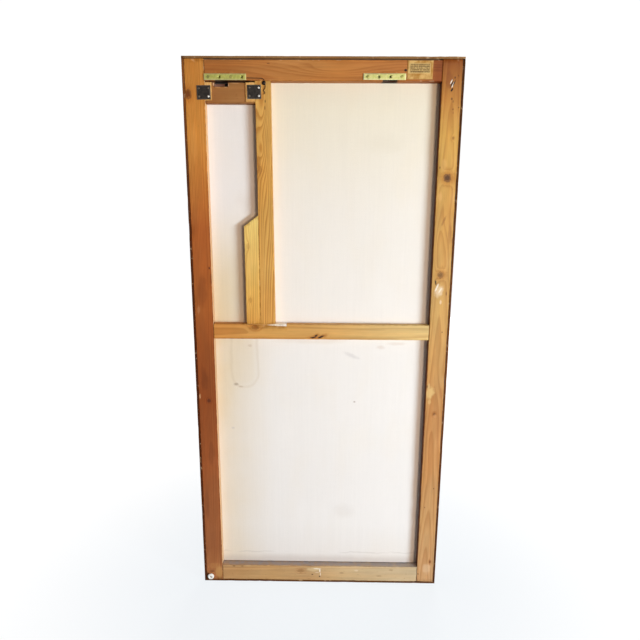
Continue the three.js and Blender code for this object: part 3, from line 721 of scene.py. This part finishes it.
def bridge(bm, rows, closed=False):
    """Faces between neighbouring rows of vertices. Closed rows join their end to their start."""
    for a, b in zip(rows, rows[1:]):
        for i in range(len(a) if closed else len(a) - 1):
            j = (i + 1) % len(a)
            bm.faces.new((a[i], a[j], b[j], b[i]))


def thicken(piece, sheet):
    """Gives a bare sheet its thickness in mm, half to each side."""
    thick = piece.modifiers.new("thickness", "SOLIDIFY")
    thick.thickness = sheet * MM
    thick.offset = 0.0


def tension(x, z, half_width, half_height):
    """Forward belly and fine tension waves of the stretched sheet, in metres."""
    u, v = x / half_width, z / half_height
    belly = BELLY * (1 - u * u) * (1 - v * v)
    near_edge = max(abs(u), abs(v)) ** 6
    waves = EDGE_WAVE * near_edge * noise.noise(Vector((x * 16, z * 16, 4.0)))
    drift = SLACK * (1 - near_edge) * noise.noise(Vector((x * 3.1, z * 2.3, 9.0)))
    return (belly + waves + drift) * MM


def raw_edge(x, z, half_width):
    """How far the turned-down edge stops short of the rear side, at a place on the rim."""
    if abs(x) >= half_width - MM:
        side = "right" if x > 0 else "left"
    else:
        side = "top" if z > 0 else "bottom"
    return (FLAP_SHORT[side] + 0.9 * noise.noise(Vector((x * 60, z * 60, 0)))) * MM


def cloth_sheet(low, high):
    """One sheet over the front, turned back along all four sides with an uneven raw edge."""
    inset = 0.5 * CLOTH_SHEET * MM
    x0, x1 = low.x + inset, high.x - inset
    z0, z1 = low.z + inset, high.z - inset
    front = high.y - inset
    flap = front - low.y
    middle_x, half_width = (x0 + x1) / 2, (x1 - x0) / 2
    middle_z, half_height = (z0 + z1) / 2, (z1 - z0) / 2
    columns = [x0] + stations(x0, x1, CLOTH_STEP * MM) + [x1]
    rows = [z0] + stations(z0, z1, CLOTH_STEP * MM) + [z1]
    bm = bmesh.new()
    grid = []
    for z in rows:
        line = []
        for x in columns:
            margins = min(x - x0, x1 - x, z - z0, z1 - z) / (CLOTH_MARGIN * MM)
            free = max(0.0, min(1.0, margins - 0.9))    # 0 on the border, 1 well inside it
            pull = free * tension(x - middle_x, z - middle_z, half_width, half_height)
            line.append(bm.verts.new((x, front + pull, z)))
        grid.append(line)
    bridge(bm, grid)
    rim = (grid[0] + [line[-1] for line in grid[1:]] + grid[-1][-2::-1]
           + [line[0] for line in grid[-2:0:-1]])
    rings = [rim]
    for share in FLAP_ROWS:
        ring = []
        for vert in rim:
            x, z = vert.co.x, vert.co.z
            short = raw_edge(x - middle_x, z - middle_z, half_width)
            ring.append(bm.verts.new((x, front - (flap - short) * share, z)))
        rings.append(ring)
    bridge(bm, rings, closed=True)
    return bm


CLOTH_SPOTS = [  # (x from the middle, z above the floor, half width, half height), sRGB, strength
    ((-276, 712, 9, 5), (150, 124, 98), 0.55), ((-261, 704, 8, 3), (186, 156, 126), 0.45),
    ((97, 812, 16, 13, -1.6), (206, 200, 198), 0.4), ((110, 655, 4, 3), (160, 140, 130), 0.7),
    ((190, 840, 14, 7), (214, 198, 186), 0.4), ((240, 852, 30, 6), (218, 204, 192), 0.4),
    ((-290, 560, 6, 4), (204, 194, 188), 0.5), ((-228, 842, 8, 5), (206, 186, 160), 0.5),
    ((-200, 1290, 60, 40), (228, 216, 206), 0.3), ((180, 1460, 70, 30), (230, 220, 200), 0.3),
    ((-30, 860, 120, 12), (226, 212, 196), 0.35), ((80, 260, 40, 30), (226, 220, 216), 0.3),
]


class Cloth(Shader):
    """Unbleached plain-weave cotton in the row frame. Most of its marks show on the rear only."""

    def __init__(self, low, high):
        super().__init__("screen_cloth_fabric")
        self.low, self.high = low, high
        self.at = self.place()
        self.x, self.y, self.z = self.split(self.at)
        self.flat = self.join(self.x, 0.0, self.z)
        normal = self.split(self.node("ShaderNodeNewGeometry").outputs["Normal"])
        self.rear = self.step(normal[1], -0.5, 0.5, 1.0, 0.0)
        self.cloudy = self.noise(self.at, (5, 1, 4), detail=3)
        waver = self.noise(self.at, scale=24, detail=2)
        self.wobble = self.product(self.calc("SUBTRACT", waver, 0.5), 12 * MM)

    def sheet_tone(self):
        """The clean sheet: greyer at the foot, creamier towards the head."""
        up = self.calc("DIVIDE", self.calc("SUBTRACT", self.z, self.low.z),
                       self.high.z - self.low.z)
        return self.ramp(up, [
            (0.0, srgb(236, 230, 225)), (0.12, srgb(245, 241, 238)), (0.5, srgb(246, 241, 236)),
            (0.75, srgb(244, 237, 227)), (0.92, srgb(241, 231, 210)), (1.0, srgb(233, 219, 195))])

    def aged(self, colour):
        """Yellowing along the left side, but not in the narrow bay beside the upright."""
        bar_low, bar_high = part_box("cross_bar")
        upright_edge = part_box("inner_upright")[0].x
        bay = self.product(self.step(self.x, upright_edge - 0.02, upright_edge, 1.0, 0.0),
                           self.step(self.z, bar_high.z + 0.15, bar_high.z + 0.42), self.rear)
        colour = self.mix(self.product(bay, 0.8), colour, srgb(246, 240, 238))
        left = self.step(self.calc("SUBTRACT", self.x, self.low.x), 0.06, 0.26, 1.0, 0.0)
        from_bar = self.calc("ABSOLUTE", self.calc("SUBTRACT", self.z, bar_low.z - 0.02))
        amount = self.product(
            left, self.step(self.cloudy, 0.3, 0.7, 0.6, 1.0),
            self.calc("MULTIPLY_ADD", self.rear, 0.7, 0.3),
            self.step(from_bar, 0.08, 0.38, 1.0, 0.62), self.calc("SUBTRACT", 1.0, bay))
        return self.mix(amount, colour, srgb(229, 208, 170))

    def water_stain(self, colour):
        """A tongue that ran down below the cross bar, with a browner rim."""
        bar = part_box("cross_bar")[0]
        aside = self.calc("SUBTRACT", self.x, bar.x + 0.147)
        below = self.calc("MINIMUM", self.calc("SUBTRACT", self.z, bar.z - 0.126), 0.0)
        tongue = self.calc("ADD", self.hypotenuse(aside, below), self.wobble)
        under = self.product(self.rear, self.step(self.z, bar.z - 0.004, bar.z + 0.004, 1.0, 0.0))
        rim = self.band(tongue, 0.034, 0.042, 0.042, 0.050)
        colour = self.mix(self.product(rim, under, 0.22), colour, srgb(204, 184, 152))
        inside = self.product(self.step(tongue, 0.02, 0.043, 0.2, 0.0), under)
        return self.mix(inside, colour, srgb(226, 208, 176))

    def spot(self, colour, place, tone, strength):
        d = blot(self, self.x, self.z, self.flat, place, 0.5)
        shown = self.product(self.step(d, 0.3, 1.3, strength, 0.0),
                             self.calc("MULTIPLY_ADD", self.rear, 0.8, 0.2))
        return self.mix(shown, colour, srgb(*tone))

    def slot_shade(self, colour):
        """The cloth seen through the gap above the short rail's notch is in deep shade."""
        d = blot(self, self.x, self.z, self.flat, (-290, 1624, 30, 8), 0.05)
        shade = self.product(self.rear, self.step(d, 0.8, 1.1, 0.96, 0.0))
        return self.mix(shade, colour, srgb(30, 22, 18))

    def tide_line(self, colour):
        """A faint, broken line above the bottom rail, and dirt below it."""
        height = self.calc("ADD", self.z, self.product(self.wobble, 1.6))
        line = self.band(height, 0.094, 0.101, 0.101, 0.104)
        broken = self.step(self.noise(self.at, (11, 1, 3), detail=1), 0.42, 0.6, 0.0, 0.24)
        colour = self.mix(self.product(line, self.rear, broken), colour, srgb(176, 166, 156))
        dirt = self.step(self.calc("ADD", self.z, self.wobble), 0.070, 0.098, 0.45, 0.0)
        dirt = self.product(dirt, self.calc("MULTIPLY_ADD", self.rear, 0.85, 0.15))
        return self.mix(dirt, colour, srgb(188, 176, 168))

    def creamy_patches(self, colour):
        patches = self.step(self.noise(self.at, (9, 1, 5), detail=2), 0.45, 0.7, 0.0, 0.35)
        return self.mix(patches, colour, self.mix(1.0, colour, CREAM_CAST, "MULTIPLY"))

    def turned_edge_gap_shade(self, colour):
        """Painted shade: the edge turned back over the timbers is darkened brown where it lies in
        the narrow gap between the timbers and the edge strips.
        """
        turned = self.step(self.y, self.high.y - 0.006, self.high.y - 0.003, 0.85, 0.0)
        return self.mix(turned, colour, srgb(88, 56, 34))


def cloth_material(low, high):
    s = Cloth(low, high)
    warp = s.calc("SINE", s.product(s.x, 2 * math.pi / (WARP_PITCH * MM)))
    weft = s.calc("SINE", s.product(s.z, 2 * math.pi / (WEFT_PITCH * MM)))
    weave = s.product(warp, weft)
    slub_up = s.noise(s.at, (900, 1, 14), detail=2)
    slub_over = s.noise(s.at, (14, 1, 900), detail=2)
    bands = s.noise(s.at, (150, 1, 2.5), detail=2)
    colour = s.aged(s.sheet_tone())
    for pattern, amount in ((weave, 0.02), (slub_up, 0.035), (slub_over, 0.025), (bands, 0.025),
                            (s.cloudy, 0.02)):
        colour = s.vary(colour, pattern, amount)
    colour = s.water_stain(colour)
    for spot in CLOTH_SPOTS:
        colour = s.spot(colour, *spot)
    colour = s.turned_edge_gap_shade(s.creamy_patches(s.tide_line(s.slot_shade(colour))))
    threads = s.calc("ADD", s.product(weave, 0.5), s.calc("ADD", slub_up, slub_over))
    return s.finish(colour, 0.92, threads, bump_mm=0.12, bump=0.4, Specular_IOR_Level=0.1,
                    Sheen_Weight=0.12)


def build_cloth():
    low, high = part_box("screen_cloth")
    piece = show("screen_cloth_fabric", cloth_sheet(low, high), cloth_material(low, high),
                 ["screen_cloth"], sharp=60)
    thicken(piece, CLOTH_SHEET)


# ---------------- metal, paper and plastic

PLATE_SHORTEST = 10     # shorter CAD edges of plates stay sharp, mm
PLATE_GRID = 4          # spacing of the loops across the plates, mm
SCREW_SIZES = {         # head height and shank radius, mm
    "square_plate": (1.9, 1.6), "hanging_plate": (1.2, 2.0), "wire": (2.6, 2.2),
    "bumper": (1.6, 1.7)}


def metal(name, colour, second, roughness=0.4, metallic=1.0, scuff=0.3, scratch=(60, 60, 900)):
    """Plated or bare metal: cloudy plating, fine scratches and worn, brighter edges."""
    s = Shader(name)
    place = s.place()
    cloud = s.noise(place, scale=130, detail=3)
    lines = s.noise(place, scratch, scale=6, detail=2)
    tint = s.mix(s.step(cloud, 0.35, 0.68), srgb(*colour), srgb(*second))
    tint = s.vary(tint, lines, 0.12)
    edge = s.product(s.attribute("arris"), scuff)
    tint = s.mix(edge, tint, srgb(214, 210, 196))
    gloss = s.calc("MULTIPLY_ADD", cloud, 0.2, roughness - 0.1)
    return s.finish(tint, gloss, lines, bump_mm=0.04, bump=0.35, Metallic=metallic)


def plate(node, piece, material, rounding, unevenness, dent, sharp):
    """A flat plate from its CAD node with softened, dented edges. The sizes are in mm."""
    low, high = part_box(node)
    bm = cad_copy(node)
    soften(bm, rounding * MM, PLATE_SHORTEST * MM)
    for axis in (0, 2):
        cut_across(bm, axis, stations(low[axis], high[axis], PLATE_GRID * MM))
    wear(bm, unevenness * MM, dent * MM)
    show(piece, bm, material, [node], sharp)


def build_plates():
    zinc = {"left": ((203, 200, 111), (180, 181, 92)), "right": ((213, 210, 143), (195, 198, 118))}
    for side, tones in zinc.items():
        node = "hanging_plate_" + side
        plate(node, node + "_zinc", metal(node + "_zinc", *tones, 0.5, 0.7),
              0.35, 0.02, 0.15, 32)
    black = metal("square_plate_black", (58, 53, 49), (40, 37, 34), 0.5, 0.6, scuff=0.12)
    for side in zinc:
        node = "square_plate_" + side
        plate(node, node + "_steel", black, 0.3, 0.08, 0.2, 40)


def lathe(bm, profile, place, segments=28):
    """A turned body from a [radius, depth] profile. place gives a vertex from the two sides of
    its radius and its depth. An end of radius 0 is a single point."""
    rings = []
    for radius, depth in profile:
        turns = [2 * math.pi * i / segments for i in range(segments if radius else 1)]
        rings.append([bm.verts.new(place(radius * math.cos(turn), radius * math.sin(turn), depth))
                      for turn in turns])
    for a, b in zip(rings, rings[1:]):
        for i in range(segments):
            j = (i + 1) % segments
            corners = [a[i % len(a)], a[j % len(a)], b[j % len(b)], b[i % len(b)]]
            bm.faces.new(list(dict.fromkeys(corners)))


def along_y(centre):
    """A place for lathe() on an axis that runs along +Y from the centre."""
    return lambda across, up, depth: centre + Vector((across, depth, up))


def rear_centre(low, high):
    """The middle of a box's rear side."""
    return Vector(((low.x + high.x) / 2, low.y, (low.z + high.z) / 2))


def quarter_turn(steps):
    """(sine, 1 - cosine) at the steps of a quarter turn."""
    turns = [math.pi / 2 * i / steps for i in range(1, steps + 1)]
    return [(math.sin(turn), 1 - math.cos(turn)) for turn in turns]


def loose_object(name, bm):
    mesh = bpy.data.meshes.new(name)
    bm.to_mesh(mesh)
    bm.free()
    made = bpy.data.objects.new(name, mesh)
    bpy.context.scene.collection.objects.link(made)
    return made


def slotted(bm, centre, angle, *half_sizes):
    """Cuts a screwdriver slot across a turned head."""
    block = bmesh.new()
    bmesh.ops.create_cube(block, size=2.0)
    spin = Matrix.Rotation(angle, 4, "Y")
    block.transform(Matrix.Translation(centre) @ spin @ Matrix.Diagonal((*half_sizes, 1)))
    head, cutter = loose_object("head", bm), loose_object("cutter", block)
    cut = head.modifiers.new("slot", "BOOLEAN")
    cut.object = cutter
    cut.operation = "DIFFERENCE"
    cut.solver = "EXACT"
    result = bmesh.new()
    result.from_object(head, bpy.context.evaluated_depsgraph_get())
    for made in (head, cutter):
        mesh = made.data
        bpy.data.objects.remove(made)
        bpy.data.meshes.remove(mesh)
    return result


def screw_profile(radius, head, shank, length, flat):
    if flat:
        profile = [(0, 0), (radius * 0.94, 0), (radius, 0.12 * MM), (radius, 0.3 * MM),
                   (shank, radius - shank + 0.3 * MM)]
    else:
        dome = [(radius * out, head * 0.9 * back) for out, back in quarter_turn(6)]
        profile = [(0, 0)] + dome + [(radius * 0.97, head), (shank, head)]
    return profile + [(shank, length - 2 * shank), (0, length)]


def screw(node, kind, material, angle, flat=False):
    """A slotted screw on its CAD node's axis: a domed head, or a flat countersunk one."""
    head, shank = (size * MM for size in SCREW_SIZES[kind])
    low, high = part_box(node)
    radius = (high.x - low.x) / 2
    centre = rear_centre(low, high)
    bm = bmesh.new()
    lathe(bm, screw_profile(radius, head, shank, high.y - low.y, flat), along_y(centre))
    bm = slotted(bm, centre, math.radians(angle), radius * 1.3, 0.42 * head, 0.11 * radius)
    show(node + "_head", bm, material, [node], sharp=32)


def build_screws():
    nickel = metal("nickel_screws", (240, 238, 232), (206, 202, 194), 0.4, 0.7)
    dull = metal("dull_screws", (128, 118, 106), (90, 80, 70), 0.5, 0.8)
    zinc = metal("zinc_screws", (178, 174, 100), (140, 138, 80), 0.42, 0.75)
    dark = metal("wire_screw_steel", (66, 54, 44), (44, 36, 30), 0.5, 0.8)
    corners = ("bottom_left", "bottom_right", "top_right", "top_left")
    bright = {"left": ("bottom_right",), "right": ("bottom_right", "top_right")}
    for side in ("left", "right"):
        for i, corner in enumerate(corners):
            finish = nickel if corner in bright[side] else dull
            screw(f"square_plate_{side}_screw_{corner}", "square_plate", finish,
                  20 + 70 * i)
        for i in (1, 2):
            screw(f"hanging_plate_{side}_screw_{i}", "hanging_plate", zinc,
                  25 + 50 * i, flat=True)
    screw("wire_screw", "wire", dark, 60)
    screw("corner_bumper_screw", "bumper", nickel, 40)


def bumper_plastic():
    """White plastic with a little dirt in patches."""
    s = Shader("bumper_plastic")
    place = s.place()
    mottled = s.noise(place, scale=300, detail=2)
    dirt = s.step(s.noise(place, scale=140, detail=3), 0.55, 0.72)
    colour = s.mix(s.product(dirt, 0.25), srgb(250, 250, 246), srgb(206, 200, 190))
    gloss = s.calc("MULTIPLY_ADD", mottled, 0.15, 0.3)
    return s.finish(colour, gloss, mottled, bump_mm=0.03, bump=0.3)


def build_bumper():
    """A round cap with a recess for its screw and a bore through it."""
    low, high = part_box("corner_bumper")
    radius = (high.x - low.x) / 2
    depth = high.y - low.y
    crown = radius * 0.72
    bore, recess, sink = 2.1 * MM, 3.7 * MM, 2.0 * MM
    profile = [(bore, sink), (recess - 0.3 * MM, sink), (recess, sink - 0.3 * MM),
               (recess, 0.4 * MM), (recess + 0.4 * MM, 0), (crown, 0)]
    profile += [(crown + (radius - crown) * out, depth * 0.5 * back)
                for out, back in quarter_turn(5)]
    profile += [(radius, depth - 0.4 * MM), (radius - 0.4 * MM, depth), (bore, depth),
                (bore, sink)]
    bm = bmesh.new()
    lathe(bm, profile, along_y(rear_centre(low, high)), 40)
    bmesh.ops.remove_doubles(bm, verts=bm.verts, dist=0.001 * MM)
    show("corner_bumper_cap", bm, bumper_plastic(), ["corner_bumper"])


# ---------------- paper label

LABEL_SHEET = 0.2       # thickness, mm
LABEL_GRID = (30, 20)   # columns and rows
LABEL_GAP = 0.12        # behind the middle of the sheet, mm


def label_vertex(low, high, u, v):
    """A place on the label from its shares of the width and height: torn at the left, trimmed
    unevenly elsewhere, and lifted at two corners."""
    x = low.x + (high.x - low.x) * u
    z = low.z + (high.z - low.z) * v
    torn = 1.6 * MM * (1 + noise.noise(Vector((z * 210, 1.7, 0)))) * (1 - u) ** 6
    trim = abs(0.3 * MM * noise.noise(Vector((x * 150, z * 150, 5.0))))
    corner = max(0.0, u - 0.8) * max(0.0, v - 0.75) + max(0.0, 0.2 - u) * max(0.0, 0.2 - v)
    lift = 22 * corner + 0.12 * (1 + noise.noise(Vector((x * 70, z * 70, 2.0))))
    on_rim = v in (0.0, 1.0) or u == 1.0
    return (x + torn - (trim if on_rim else 0), high.y - (LABEL_GAP + lift) * MM, z)


def label_paper(low, high):
    """Blotched tan paper with a paler field and broken blank rules."""
    s = Shader("label_paper")
    place = s.place()
    x, _, z = s.split(place)
    u = s.calc("DIVIDE", s.calc("SUBTRACT", x, low.x), high.x - low.x)
    v = s.calc("DIVIDE", s.calc("SUBTRACT", z, low.z), high.z - low.z)
    blotch = s.noise(place, scale=60, detail=4)
    fibres = s.noise(place, (260, 1, 900), scale=2, detail=2)
    colour = s.mix(s.step(blotch, 0.35, 0.68), srgb(214, 174, 106), srgb(176, 124, 58))
    inset = s.calc("MINIMUM", s.calc("MINIMUM", u, s.calc("SUBTRACT", 1.0, u)),
                   s.calc("MINIMUM", s.calc("SUBTRACT", v, 0.22), s.calc("SUBTRACT", 0.94, v)))
    colour = s.mix(s.step(inset, 0.07, 0.1, 0.0, 0.6), colour, srgb(214, 184, 122))
    rule = s.calc("ABSOLUTE", s.calc("SINE", s.product(v, math.pi * 10)))
    broken = s.step(s.noise(place, (420, 1, 160), detail=2), 0.36, 0.46)
    lines = s.product(s.step(rule, 0.55, 0.95, 1.0, 0.0), broken,
                      s.step(inset, 0.10, 0.15, 0.0, 0.95))
    colour = s.mix(lines, colour, srgb(62, 40, 20))
    rim = s.step(s.calc("MINIMUM", u, v), 0.0, 0.06, 0.5, 0.0)
    colour = s.mix(rim, colour, srgb(150, 104, 56))
    colour = s.vary(colour, fibres, 0.06)
    return s.finish(colour, 0.85, fibres, bump_mm=0.05, bump=0.4, Specular_IOR_Level=0.2)


def build_label():
    low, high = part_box("paper_label")
    columns, rows = LABEL_GRID
    bm = bmesh.new()
    bridge(bm, [[bm.verts.new(label_vertex(low, high, i / columns, j / rows))
                 for i in range(columns + 1)] for j in range(rows + 1)])
    piece = show("paper_label_sheet", bm, label_paper(low, high), ["paper_label"])
    thicken(piece, LABEL_SHEET)


# ---------------- hanging wire

def catmull_rom(points, per_span):
    """A smooth path through the points."""
    ends = [points[0] * 2 - points[1]] + points + [points[-1] * 2 - points[-2]]
    path = []
    for a, b, c, d in zip(ends, ends[1:], ends[2:], ends[3:]):
        for i in range(per_span):
            t = i / per_span
            path.append(0.5 * ((2 * b) + (c - a) * t + (2 * a - 5 * b + 4 * c - d) * t * t
                               + (3 * b - a - 3 * c + d) * t ** 3))
    path.append(points[-1])
    return path


WIRE_TURN = 4.0         # radius of the turn round the screw, mm
TWIST_PITCH = 4.6       # length of one turn of the strands, mm
STRAND_RADIUS = 0.56
STRAND_OFFSET = 0.55    # from the wire's middle to a strand's
STRAND_SIDES = 8
WIRE_LEAD = [(-36.3, 13.4), (-15.3, 12.9), (-3.2, 11.4)]            # from the screw's middle, mm
WIRE_TAIL = [(2.6, -13), (-1.6, -19), (1.8, -25), (-0.6, -29)]
REARWARD = Vector((0, -1, 0))


def wire_path():
    """From the hanging plate's end, once round the screw and down to a loose tail."""
    low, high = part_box("hanging_wire")
    screw_low, screw_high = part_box("wire_screw")
    centre = (screw_low + screw_high) / 2
    centre.y = (low.y + high.y) / 2
    turn = [(WIRE_TURN * math.cos(angle), WIRE_TURN * math.sin(angle))
            for angle in map(math.radians, (40, 0, -40))]
    start = ((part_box("hanging_plate_left")[1].x - centre.x) / MM + 1.8, WIRE_LEAD[0][1])
    places = [start] + WIRE_LEAD + turn + WIRE_TAIL
    return catmull_rom([centre + Vector((across, 0, up)) * MM for across, up in places], 18)


def circle(middle, side, radius, angle):
    return middle + radius * MM * (side * math.cos(angle) + REARWARD * math.sin(angle))


def add_strand(bm, path, phase):
    """One closed strand that winds round the path."""
    travelled = 0.0
    rings = []
    for i, point in enumerate(path):
        ahead = path[min(i + 1, len(path) - 1)]
        behind = path[max(i - 1, 0)]
        travelled += (point - behind).length
        side = (ahead - behind).normalized().cross(REARWARD).normalized()
        angle = 2 * math.pi * travelled / (TWIST_PITCH * MM) + phase
        middle = circle(point, side, STRAND_OFFSET, angle)
        rings.append([bm.verts.new(circle(middle, side, STRAND_RADIUS,
                                          2 * math.pi * k / STRAND_SIDES))
                      for k in range(STRAND_SIDES)])
    bridge(bm, rings, closed=True)
    bm.faces.new(rings[0])
    bm.faces.new(rings[-1])


def build_wire():
    """Two strands twisted together."""
    path = wire_path()
    bm = bmesh.new()
    for phase in (0.0, math.pi):
        add_strand(bm, path, phase)
    material = metal("old_wire", (92, 66, 44), (40, 29, 22), 0.5, 0.6)
    show("hanging_wire_strands", bm, material, ["hanging_wire"])


# ---------------- nodes kept from the CAD

def dowel_wood():
    s = Shader("dowel_wood")
    rays = s.noise(s.place(), (1400, 60, 1400), detail=3)
    colour = s.mix(rays, srgb(206, 172, 124), srgb(228, 198, 150))
    return s.finish(colour, 0.6, rays, bump_mm=0.1)


def finish_kept_nodes():
    """The hidden dowels and the brads keep their CAD shape and get a finish of their own."""
    finishes = {"dowel": dowel_wood(),
                "strip_brad": metal("brad_steel", (150, 144, 134), (100, 90, 78), 0.45, 0.9)}
    for name, node in NODES.items():
        for kind, finish in finishes.items():
            if kind in name:
                node.data.materials.clear()
                node.data.materials.append(finish)


# ---------------- stage, light and camera

FLOOR_RADIUS = 5.6      # flat part of the floor, m
SWEEP_RADIUS = 2.4      # curve from the floor into the wall, m
WALL_TOP = 9.0
PAINTED_FLOOR_SHADE = (0.81, 0.845, 0.875, 1)    # the floor's glow at the frame's foot, darker as a painted shade
BACKDROP = (0.99, 0.99, 0.99, 1)        # and everywhere else
AIR = (1.0, 0.70, 0.53, 1)              # the light that comes from all round
AIR_STRENGTH = 0.34
LIGHT_DISTANCE = 5.0
SOFTBOXES = [  # azimuth, height, width, tall, watts, colour
    ("key", 23, 0.8, 0.3, 2.6, 117, (1.0, 0.753, 0.549)),
    ("second_key", 50, 0.9, 0.32, 2.4, 258, (0.70, 0.862, 0.98)),
    ("front_fill", 165, 1.3, 2.4, 2.6, 190, (1.0, 0.99, 0.97)),
]
SENSOR = 36             # mm
LENS = 28.125
EYE = (0.0121, -1.5233, 1.2477)         # x, y from the rear face and z, fitted to the photo, m
EYE_TURN = (78.326, -0.348, 0.672)      # degrees


def studio_paper():
    """Pale to the camera and in reflections, with a painted shade round the frame's foot, and dull
    grey to the light that it bounces.
    """
    s = Shader("studio_paper")
    path = s.node("ShaderNodeLightPath")
    mirrored = s.product(path.outputs["Is Glossy Ray"], 0.4)
    seen = s.calc("MAXIMUM", path.outputs["Is Camera Ray"], mirrored)
    x, y, _ = s.split(s.place())
    # Painted shade: the glow is darker near the frame's foot.
    tone = s.mix(s.step(s.hypotenuse(x, y), 0.3, 1.4), PAINTED_FLOOR_SHADE, BACKDROP)
    s.put(s.surface.inputs["Emission Color"], tone)
    s.put(s.surface.inputs["Emission Strength"], seen)
    bounce = s.mix(seen, (0.35, 0.35, 0.35, 1), (0.12, 0.12, 0.12, 1))
    return s.finish(bounce, 0.9, Specular_IOR_Level=0.1)


def build_stage():
    """A pale floor that sweeps up into a pale wall far behind and all round."""
    profile = [(FLOOR_RADIUS * share / 3, 0.0) for share in range(4)]
    profile += [(FLOOR_RADIUS + SWEEP_RADIUS * out, SWEEP_RADIUS * up)
                for out, up in quarter_turn(12)]
    profile.append((FLOOR_RADIUS + SWEEP_RADIUS, WALL_TOP))
    bm = bmesh.new()
    lathe(bm, profile, lambda x, y, height: (x, y, height), 64)
    bmesh.ops.reverse_faces(bm, faces=bm.faces)
    sweep = loose_object("studio_sweep", bm)
    sweep.data.shade_smooth()
    sweep.data.materials.append(studio_paper())


def softbox(name, azimuth, height, width, tall, power, colour):
    """A tall area light aimed at the frame's middle. Azimuth is measured from the rear face's
    normal, positive to the viewer's right."""
    low, high = CAD_BOUNDS
    target = (low + high) / 2
    target.z = height
    angle = math.radians(azimuth)
    data = bpy.data.lights.new(name, "AREA")
    data.shape = "RECTANGLE"
    data.size, data.size_y = width, tall
    data.energy = power
    data.color = colour
    lamp = bpy.data.objects.new(name, data)
    lamp.location = (target.x + LIGHT_DISTANCE * math.sin(angle),
                     -LIGHT_DISTANCE * math.cos(angle), height)
    lamp.rotation_euler = (target - lamp.location).to_track_quat("-Z", "Z").to_euler()
    bpy.context.scene.collection.objects.link(lamp)


def build_air():
    """Soft warm light from all round, behind a backdrop that only the camera sees."""
    world = bpy.data.worlds.new("studio_air")
    world.use_nodes = True
    tree = world.node_tree
    air = tree.nodes["Background"]
    air.inputs[0].default_value = AIR
    air.inputs[1].default_value = AIR_STRENGTH
    backdrop = tree.nodes.new("ShaderNodeBackground")
    backdrop.inputs[0].default_value = BACKDROP
    path = tree.nodes.new("ShaderNodeLightPath")
    either = tree.nodes.new("ShaderNodeMixShader")
    tree.links.new(path.outputs["Is Camera Ray"], either.inputs[0])
    tree.links.new(air.outputs[0], either.inputs[1])
    tree.links.new(backdrop.outputs[0], either.inputs[2])
    tree.links.new(either.outputs[0], tree.nodes["World Output"].inputs["Surface"])
    bpy.context.scene.world = world


def build_camera():
    """Level with the upper half, a step and a half away, tilted down."""
    data = bpy.data.cameras.new("camera")
    data.sensor_width = SENSOR
    data.lens = LENS
    camera = bpy.data.objects.new("camera", data)
    camera.location = Vector(EYE) + Vector((0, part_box("cross_bar")[0].y, 0))
    camera.rotation_euler = [math.radians(turn) for turn in EYE_TURN]
    bpy.context.scene.collection.objects.link(camera)
    bpy.context.scene.camera = camera


for build in (build_left_stile, build_right_stile, build_top_rail, build_bottom_rail,
              build_cross_bar, build_inner_upright, build_angled_stiffener, build_short_rail,
              build_shims, build_wedge, build_strips, build_cloth, build_plates, build_screws,
              build_bumper, build_label, build_wire, finish_kept_nodes, build_stage):
    build()
for settings in SOFTBOXES:
    softbox(*settings)
build_air()
build_camera()
bpy.context.scene.view_settings.view_transform = "Standard"
